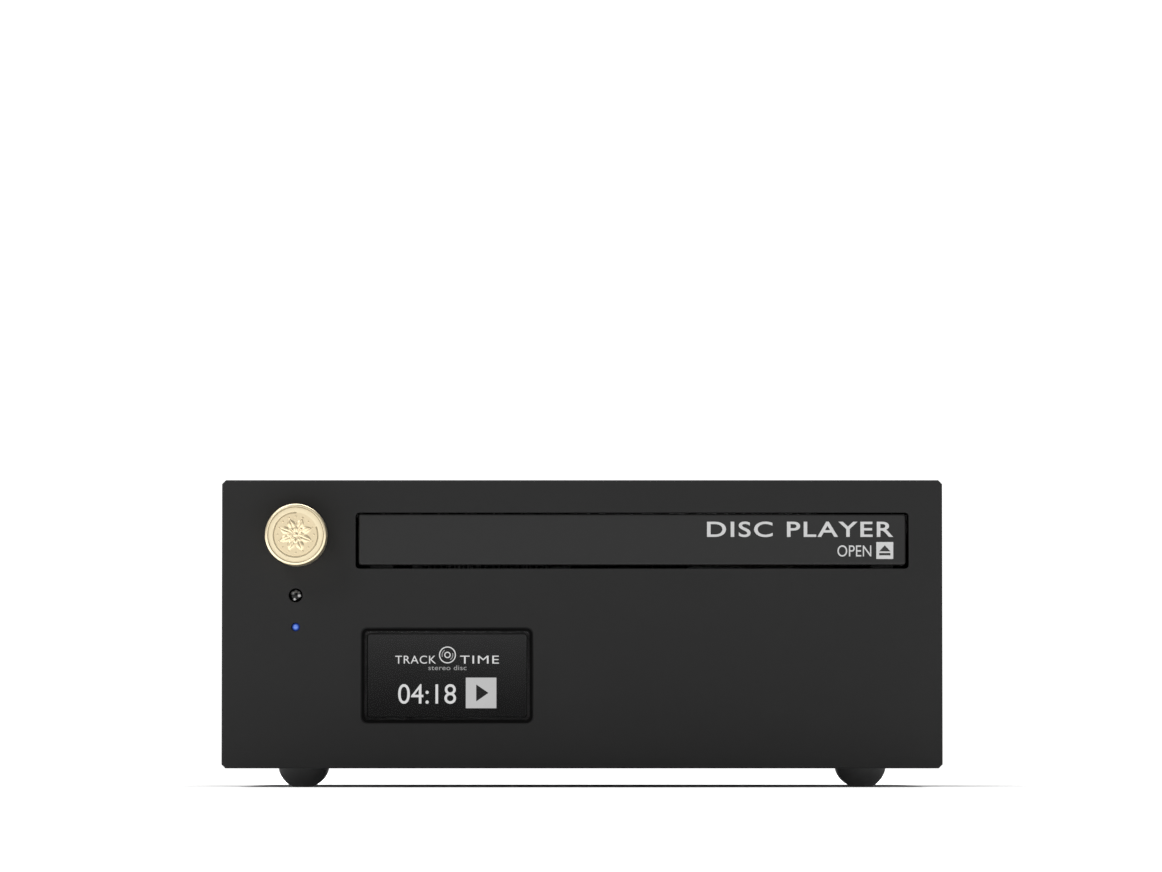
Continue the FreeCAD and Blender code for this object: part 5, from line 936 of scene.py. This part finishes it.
def thicken(thick):
    """Raises the flat faces of the piece in edit mode to a sheet of this thickness, facing outwards."""
    bpy.ops.mesh.extrude_region_move(TRANSFORM_OT_translate={"value": (0.0, 0.0, thick)})
    bpy.ops.mesh.select_all(action="SELECT")
    bpy.ops.mesh.normals_make_consistent(inside=False)
    done()


def flat_words(name, words, cap_height, width=None, align="LEFT", spacing=1.0, weight=0.0):
    """Lettering as a thin mesh lying flat, its base line on y = 0, as high and wide as asked."""
    clear_selection()
    bpy.ops.object.text_add(location=(0.0, 0.0, 0.0))
    text = bpy.context.object
    text.data.body = words
    text.data.size = 1.0
    text.data.space_character = spacing
    text.data.offset = weight
    text.data.extrude = TEXT_EXTRUDE
    text.data.resolution_u = 6
    bpy.ops.object.convert(target="MESH")
    piece = bpy.context.object
    piece.name = piece.data.name = name
    across = [v.co.x for v in piece.data.vertices]
    tall = max(v.co.y for v in piece.data.vertices if v.co.y > 0.0)
    left, right = min(across), max(across)
    shift = {"LEFT": -left, "RIGHT": -right, "CENTER": -(left + right) / 2}[align]
    high = cap_height / tall
    wide = width / (right - left) if width else high
    scale = Matrix.Diagonal((wide, high, INK_THICK / (2 * TEXT_EXTRUDE), 1.0))
    piece.data.transform(scale @ Matrix.Translation((shift, 0, TEXT_EXTRUDE)))
    return piece


def flat_shape(name, outline, thick=INK_THICK, frame_width=None):
    """A flat shape from its corners (x, y), lying flat; with a frame width only its rim stays."""
    piece, mesh = empty_sheet(name)
    mesh.faces.new([mesh.verts.new((x, y, 0.0)) for x, y in outline])
    mesh.normal_update()
    bmesh.update_edit_mesh(piece.data)
    bpy.ops.mesh.select_all(action="SELECT")
    if frame_width:
        inset(frame_width)
        bpy.ops.mesh.delete(type="FACE")
    bpy.ops.mesh.select_all(action="SELECT")
    thicken(thick)
    return piece


def rounded_box_outline(x0, y0, x1, y1, radius, steps):
    """The corners of a box with rounded corners, each in this many steps."""
    corners = ((x1 - radius, y1 - radius, 0), (x0 + radius, y1 - radius, 90),
               (x0 + radius, y0 + radius, 180), (x1 - radius, y0 + radius, 270))
    points = []
    for cx, cy, start in corners:
        for step in range(steps + 1):
            a = math.radians(start + 90.0 * step / steps)
            points.append((cx + radius * math.cos(a), cy + radius * math.sin(a)))
    return points


def flat_ring(name, radius, width, arc=360.0, start=0.0, steps=64):
    """A flat ring or part of one, swept by spin from a short bar."""
    piece, mesh = empty_sheet(name)
    a = math.radians(start)
    ends = (radius - width / 2, radius + width / 2)
    mesh.edges.new([mesh.verts.new((r * math.cos(a), r * math.sin(a), 0.0)) for r in ends])
    bmesh.update_edit_mesh(piece.data)
    bpy.ops.mesh.select_mode(type="EDGE")
    bpy.ops.mesh.select_all(action="SELECT")
    bpy.ops.mesh.spin(steps=steps, angle=math.radians(arc), center=(0, 0, 0), axis=(0, 0, 1), dupli=False)
    bpy.ops.mesh.select_all(action="SELECT")
    bpy.ops.mesh.remove_doubles(threshold=1e-7)
    thicken(INK_THICK)
    return piece


def stand_up(piece, facing, x, y, z):
    """Turns a flat piece to face the front or the rear, at its place on the player."""
    piece.data.transform(Matrix.Translation((x, y, z)) @ facing)
    return piece


# ---------------------------------------------------------------- the gold knob and its rosette

MEDAL_ROUND = 0.00012          # room for the medal's rounded outer edge
GROOVE_OUTER = 0.00630         # the broken ring round the rosette
GROOVE_WIDTH = 0.00036
GROOVE_DEPTH = 0.00034
GROOVE_GAP = (22.0, 88.0)      # where the ring is broken, in degrees
LEAVES = 8
BEADS = 16
BEAD_CIRCLE = 0.00500
NEAR = 1e-5                    # closer than this counts as on the edge


def about_knob(back):
    """From a flat piece about the origin, facing up, to the knob, with its back at y = back."""
    return Matrix.Translation((KNOB_X, back, KNOB_Z)) @ FACING_FRONT


def pick_rim(piece, height, radius):
    """In edit mode: selects the edges of the outer circle at this height."""
    pick_edges(piece, lambda a, b: max(abs(a.z - height), abs(b.z - height)) < 1e-6 and
               min(a.xy.length, b.xy.length) > radius - NEAR)


def add_disc(name, vertices, radius, depth):
    """A short cylinder that stands on the ground."""
    clear_selection()
    bpy.ops.mesh.primitive_cylinder_add(vertices=vertices, radius=radius, depth=depth,
                                        location=(0, 0, depth / 2))
    return keep_new(name)


def copies_round(piece, count, start=0.0):
    """Copies of a piece, evenly round the middle; the piece itself is taken away."""
    twins = [place_copy(piece, Matrix.Rotation(math.radians(start + 360.0 * i / count), 4, "Z"))
             for i in range(count)]
    bpy.data.objects.remove(piece)
    return twins


def make_petal(name, length, width, height, reach):
    """One leaf of the rosette: half a ball, flattened and drawn to a point, grooved down its middle."""
    clear_selection()
    bpy.ops.mesh.primitive_uv_sphere_add(segments=24, ring_count=12, radius=0.5)
    petal = keep_new(name)
    edit(petal)
    bpy.ops.mesh.select_all(action="SELECT")
    bpy.ops.mesh.bisect(plane_co=(0, 0, 0), plane_no=(0, 0, 1), clear_inner=True, use_fill=True)
    done()
    for v in petal.data.vertices:
        along = v.co.x + 0.5
        narrow = 0.55 + 0.75 * math.sin(math.pi * min(1.0, along * 0.9)) - 0.35 * along
        v.co.y *= narrow
        v.co.z *= 0.75 + 0.5 * along - 0.55 * max(0.0, 0.12 - abs(v.co.y)) / 0.12
    petal.data.transform(Matrix.Diagonal((length, width, height, 1.0)))
    petal.data.transform(Matrix.Translation((reach, 0, 0)))
    return petal


def make_medal_disc(radius, front):
    """The medal's plate, with a rounded outer edge and the broken ring cut in."""
    disc = add_disc("medal_disc", 180, radius, front)
    edit(disc)
    pick_faces(disc, lambda c, n: n.z > 0.9)
    for step in (MEDAL_ROUND, radius - MEDAL_ROUND - GROOVE_OUTER, GROOVE_WIDTH, 0.00090):
        inset(step)
    gap_from, gap_to = (math.radians(angle) for angle in GROOVE_GAP)
    pick_faces(disc, lambda c, n: n.z > 0.9 and GROOVE_OUTER - GROOVE_WIDTH < c.xy.length < GROOVE_OUTER and
               not gap_from < math.atan2(c.y, c.x) < gap_to)
    push(-GROOVE_DEPTH)
    pick_rim(disc, front, radius)
    bevel(0.0001, 2)
    bpy.ops.mesh.select_mode(type="FACE")
    done()
    return disc


def make_medal():
    """The medal in the knob: a rim, a broken ring, a ring of beads and a two-row rosette."""
    depth = MEDAL_HIGH.y - MEDAL_LOW.y
    front = depth - 0.00034
    parts = [make_medal_disc((MEDAL_HIGH.x - MEDAL_LOW.x) / 2, front)]
    leaf = make_petal("rosette_leaf", 0.0033, 0.0019, 0.00062, 0.00300)
    leaf.data.transform(Matrix.Translation((0, 0, front - 0.00004)))
    parts += copies_round(leaf, LEAVES, 180.0 / LEAVES)
    inner = make_petal("rosette_inner", 0.0021, 0.0013, 0.00066, 0.00150)
    inner.data.transform(Matrix.Translation((0, 0, front)))
    parts += copies_round(inner, LEAVES)
    clear_selection()
    bpy.ops.mesh.primitive_uv_sphere_add(segments=32, ring_count=16, radius=0.00070)
    boss = keep_new("rosette_boss")
    boss.data.transform(Matrix.Translation((0, 0, front)) @ Matrix.Diagonal((1, 1, 0.48, 1)))
    parts.append(boss)
    clear_selection()
    bpy.ops.mesh.primitive_ico_sphere_add(subdivisions=3, radius=0.00019, location=(BEAD_CIRCLE, 0, front))
    parts += copies_round(keep_new("rosette_bead"), BEADS)
    medal = join(parts, "rosette_medal")
    for v in medal.data.vertices:
        v.co.z = min(v.co.z, depth - NEAR)
    smooth(medal, 40.0)
    medal.data.transform(about_knob(MEDAL_HIGH.y))
    settle(medal, MEDAL_GOLD, "knob", ("knob_medal",))


def make_knob():
    """The turned knob: rounded front edge, a shallow seat for the medal, a bore from behind."""
    radius = (KNOB_HIGH.x - KNOB_LOW.x) / 2
    depth = KNOB_HIGH.y - KNOB_LOW.y
    seat = (MEDAL_HIGH.x - MEDAL_LOW.x) / 2 + 0.00005
    knob = add_disc("turned_knob", 192, radius, depth)
    edit(knob)
    for side, hole, cut in ((1.0, seat, 0.0013), (-1.0, 0.0048, 0.0071)):
        pick_faces(knob, lambda c, n: n.z * side > 0.9)
        inset(radius - hole)
        pick_faces(knob, lambda c, n: n.z * side > 0.9 and c.xy.length < 0.001)
        push(-cut)
    pick_rim(knob, depth, radius)
    bevel(0.00055, 5)
    pick_rim(knob, 0.0, radius)
    bevel(0.0003, 3)
    bpy.ops.mesh.select_mode(type="FACE")
    done()
    smooth(knob, 40.0)
    knob.data.transform(about_knob(KNOB_HIGH.y))
    settle(knob, SATIN_GOLD, "knob", ("knob",))


# ---------------------------------------------------------------- lettering on the tray

TRAY_PRINT_INDENT = 0.0035     # from the tray's right-hand end
EJECT_SIDE = 0.0047
EJECT_Z = 0.0633
EJECT_SIGN_LEFT, EJECT_SIGN_RIGHT = -0.0039, -0.0008
EJECT_SIGN_MIDDLE = (EJECT_SIGN_LEFT + EJECT_SIGN_RIGHT) / 2


def print_tray():
    """Words and the eject sign on the tray's face, set to its right-hand end."""
    face = TRAY_FACE_LOW.y
    right = TRAY_FACE_HIGH.x - TRAY_PRINT_INDENT
    words = flat_words("tray_words", "DISC PLAYER", 0.0042, 0.0517, "RIGHT", weight=0.012, spacing=1.12)
    stand_up(words, FACING_FRONT, right, face, 0.0695)
    settle(words, INK_PALE, "tray")
    small = flat_words("tray_small_words", "OPEN", 0.0031, 0.0094, "LEFT", spacing=1.02)
    stand_up(small, FACING_FRONT, right - 0.0155, face, 0.0640)
    settle(small, INK_PALE, "tray")
    plate = flat_shape("eject_plate", rounded_box_outline(-EJECT_SIDE, 0.0, 0.0, EJECT_SIDE, 0.00015, 3))
    stand_up(plate, FACING_FRONT, right, face, EJECT_Z)
    settle(plate, INK_PALE, "tray")
    arrow = flat_shape("eject_arrow", [(EJECT_SIGN_LEFT, 0.0021), (EJECT_SIGN_RIGHT, 0.0021),
                                       (EJECT_SIGN_MIDDLE, 0.0038)])
    bar = flat_shape("eject_bar", [(EJECT_SIGN_LEFT, 0.0010), (EJECT_SIGN_RIGHT, 0.0010),
                                   (EJECT_SIGN_RIGHT, 0.00165), (EJECT_SIGN_LEFT, 0.00165)])
    sign = join([arrow, bar], "eject_sign")
    stand_up(sign, FACING_FRONT, right, face - INK_THICK, EJECT_Z)
    settle(sign, INK_DARK, "tray")


# ---------------------------------------------------------------- the display

# width of the black sheet of painted shade round the window
SHADE_SHEET_WIDTH = 0.00072         # round the window, over the panel's bevel
SCREEN_MARGIN = 0.0009         # how far the lit field stays inside the window
SCREEN_DISC = (-0.0374, 0.0367)
SCREEN_WORDS_Z = 0.0343
SCREEN_SQUARE = (-0.0323, 0.0219)
SCREEN_SQUARE_SIDE = 0.0085


def window_outline(grow, radius, steps):
    """The window's outline, grown all round (or shrunk, when grow is negative)."""
    return rounded_box_outline(WINDOW_LOW.x - grow, WINDOW_LOW.z - grow,
                               WINDOW_HIGH.x + grow, WINDOW_HIGH.z + grow, radius, steps)


def frame_window():
    """Painted shade round the window: a black sheet over the panel's bevel and a dark line along the
    window's edge.
    """
    shade_sheet = flat_shape("window_shade_sheet", window_outline(SHADE_SHEET_WIDTH, 0.0018, 10), thick=0.00042,
                        frame_width=SHADE_SHEET_WIDTH + 0.00005)
    line = flat_shape("window_shade_line", window_outline(-SHADE_SHEET_WIDTH, 0.0009, 8), frame_width=0.0002)
    for piece, slot in ((shade_sheet, "damper_rubber"), (line, "display_dark")):
        stand_up(piece, FACING_FRONT, 0.0, WINDOW_LOW.y, 0.0)
        settle(piece, PAINTED_SHADE_BLACK, "case")


def show(piece, place, material=LIT_WHITE):
    """Sets a flat piece just before the screen, at (x, z), lit."""
    stand_up(piece, FACING_FRONT, place[0], SCREEN_LOW.y - 0.00007, place[1])
    settle(piece, material, "case")


def show_disc():
    """A plain drawn disc: its edge, its hub and two glints."""
    show(flat_ring("screen_disc_edge", 0.0022, 0.00030), SCREEN_DISC)
    show(flat_ring("screen_disc_hub", 0.00075, 0.00030, steps=40), SCREEN_DISC)
    for name, start in (("screen_disc_glint", 20.0), ("screen_disc_glint_low", 200.0)):
        show(flat_ring(name, 0.0015, 0.00022, 80.0, start, 16), SCREEN_DISC, LIT_DIM)


def light_screen():
    """The picture on the screen: a dark field, small words round a disc, the time and a play sign."""
    field = flat_shape("screen_field", window_outline(-SCREEN_MARGIN, 0.0008, 6), 0.00005)
    stand_up(field, FACING_FRONT, 0.0, SCREEN_LOW.y - 0.00001, 0.0)
    settle(field, SCREEN, "case")
    frame_window()
    show(flat_words("screen_track", "TRACK", 0.0022, 0.0113, "LEFT", spacing=1.1), (-0.0519, SCREEN_WORDS_Z))
    show(flat_words("screen_time_word", "TIME", 0.0022, 0.0108, "RIGHT", spacing=1.15),
         (-0.0231, SCREEN_WORDS_Z))
    show_disc()
    show(flat_words("screen_stereo", "stereo disc", 0.0013, 0.0106, "CENTER", spacing=1.05),
         (SCREEN_DISC[0], 0.0325), LIT_DIM)
    show(flat_words("screen_time", "04:18", 0.0054, 0.0161, "LEFT"), (-0.0511, 0.0232))
    square = rounded_box_outline(0.0, 0.0, SCREEN_SQUARE_SIDE, SCREEN_SQUARE_SIDE, 0.0001, 2)
    show(flat_shape("screen_square", square), SCREEN_SQUARE, LIT_SQUARE)
    play = flat_shape("screen_play", [(0.0029, 0.0019), (0.0063, SCREEN_SQUARE_SIDE / 2), (0.0029, 0.0066)])
    play.data.transform(Matrix.Translation((0, 0, INK_THICK)))
    show(play, SCREEN_SQUARE, LIT_DARK)


# ---------------------------------------------------------------- rear lettering

# piece, words, x, z of the base line, height of a capital, how it is set about x
REAR_LABELS = (
    ("rear_balanced", "BALANCED OUT", 0.0540, 0.0626, 0.0022, "CENTER"),
    ("rear_right_big", "R", 0.0360, 0.0255, 0.0024, "CENTER"),
    ("rear_left_big", "L", 0.0720, 0.0255, 0.0024, "CENTER"),
    ("rear_analog", "ANALOG OUT", 0.0020, 0.0634, 0.0021, "CENTER"),
    ("rear_left_small", "L", 0.0105, 0.0548, 0.0024, "LEFT"),
    ("rear_right_small", "R", 0.0105, 0.0328, 0.0024, "LEFT"),
    ("rear_coaxial", "COAXIAL", -0.0240, 0.0636, 0.0019, "CENTER"),
    ("rear_optical", "OPTICAL", -0.0240, 0.0250, 0.0019, "CENTER"),
    ("rear_digital", "DIGITAL OUT", -0.0240, 0.0682, 0.0021, "CENTER"),
    ("rear_power", "POWER", -0.0700, 0.0755, 0.0022, "CENTER"),
    ("rear_mains", "AC 100-240 V  50/60 Hz", -0.0690, 0.0135, 0.0017, "CENTER"),
)


def print_rear():
    """Plain socket names on the rear panel."""
    for name, words, x, z, cap_height, align in REAR_LABELS:
        label = flat_words(name, words, cap_height, None, align, spacing=1.08)
        stand_up(label, FACING_REAR, x, REAR_HIGH.y, z)
        settle(label, INK_LABEL, "case")


# ---------------------------------------------------------------- the remote eye

EYE_BALL_RADIUS = 0.00192
EYE_BALL_FLATNESS = 0.8
EYE_BALL_SUNK = 0.00175        # from the panel's face to the ball's middle


def make_eye():
    """The remote eye: a glossy black half ball that fills its hole, on a short stalk."""
    clear_selection()
    bpy.ops.mesh.primitive_uv_sphere_add(segments=64, ring_count=32, radius=EYE_BALL_RADIUS)
    ball = keep_new("remote_eye_ball")
    edit(ball)
    bpy.ops.mesh.select_all(action="SELECT")
    bpy.ops.mesh.bisect(plane_co=(0, 0, 0), plane_no=(0, 0, 1), clear_inner=True, use_fill=True)
    pick_faces(ball, lambda c, n: n.z < -0.9)
    push(0.0014)
    done()
    smooth(ball, 50.0)
    ball.data.transform(Matrix.Diagonal((1.0, 1.0, EYE_BALL_FLATNESS, 1.0)))
    stand_up(ball, FACING_FRONT, EYE_X, PANEL_LOW.y + EYE_BALL_SUNK, EYE_Z)
    settle(ball, EYE_BLACK, "case")


# ---------------------------------------------------------------- the foam under the lid

LID_THICK = 0.0025             # down from the lid's top to where the foam starts
FOAM_HALF = 0.0950
FOAM_HIGH = 0.0014
FOAM_DEEP = 0.0012


def seal_cover():
    """A strip of black foam under the lid where it meets the rear panel, so that no light leaks in."""
    outline = rounded_box_outline(-FOAM_HALF, -FOAM_HIGH, FOAM_HALF, 0.0, 0.0004, 3)
    strip = flat_shape("lid_foam_strip", outline, FOAM_DEEP)
    edit(strip)
    pick_edges(strip, lambda a, b: abs(a.z - b.z) < 1e-7 and a.z > FOAM_DEEP / 2)
    bevel(0.0003, 3)
    bpy.ops.mesh.select_mode(type="FACE")
    done()
    smooth(strip, 50.0)
    stand_up(strip, FACING_FRONT, 0.0, REAR_LOW.y - 0.00002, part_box("top_cover")[1].z - LID_THICK)
    settle(strip, SOFT_RUBBER, "case")


# ---------------------------------------------------------------- stage

FLOOR_GLOW = 0.8
GLOW_FROM, GLOW_FULL = 0.11, 0.26      # how far from the player the floor starts to glow, and glows fully


def lay_floor():
    """A pale floor that whitens away from the player, so that it has no edge against the room."""
    clear_selection()
    bpy.ops.mesh.primitive_plane_add(size=30.0, location=(0, 0, 0))
    floor = keep_new("studio_floor")
    f = Finish("studio_floor_white")
    grain = f.effect(FINE_TEXTURE, Scale=300.0, Patches=0.5)
    away = put(f.tree, "ShaderNodeVectorMath", {"operation": "LENGTH"}, Vector=f.place).outputs["Value"]
    glow = fade(f.tree, away, GLOW_FROM, GLOW_FULL)
    f.set(Base_Color=paint_over(f.tree, grain["Tone"], grey(0.90), grey(0.94)),
          Emission_Color=paint_over(f.tree, glow, grey(0.0), grey(1.0)),
          Roughness=f.roughen(grain["Tone"], 0.6, 0.7))
    f.constant(Emission_Strength=FLOOR_GLOW, Specular_IOR_Level=0.0)
    dress(floor, f.material)


set_camera()
light_studio()
lay_floor()
make_knob()
make_medal()
print_tray()
light_screen()
print_rear()
seal_cover()
make_eye()

bpy.context.scene.view_settings.view_transform = "Standard"
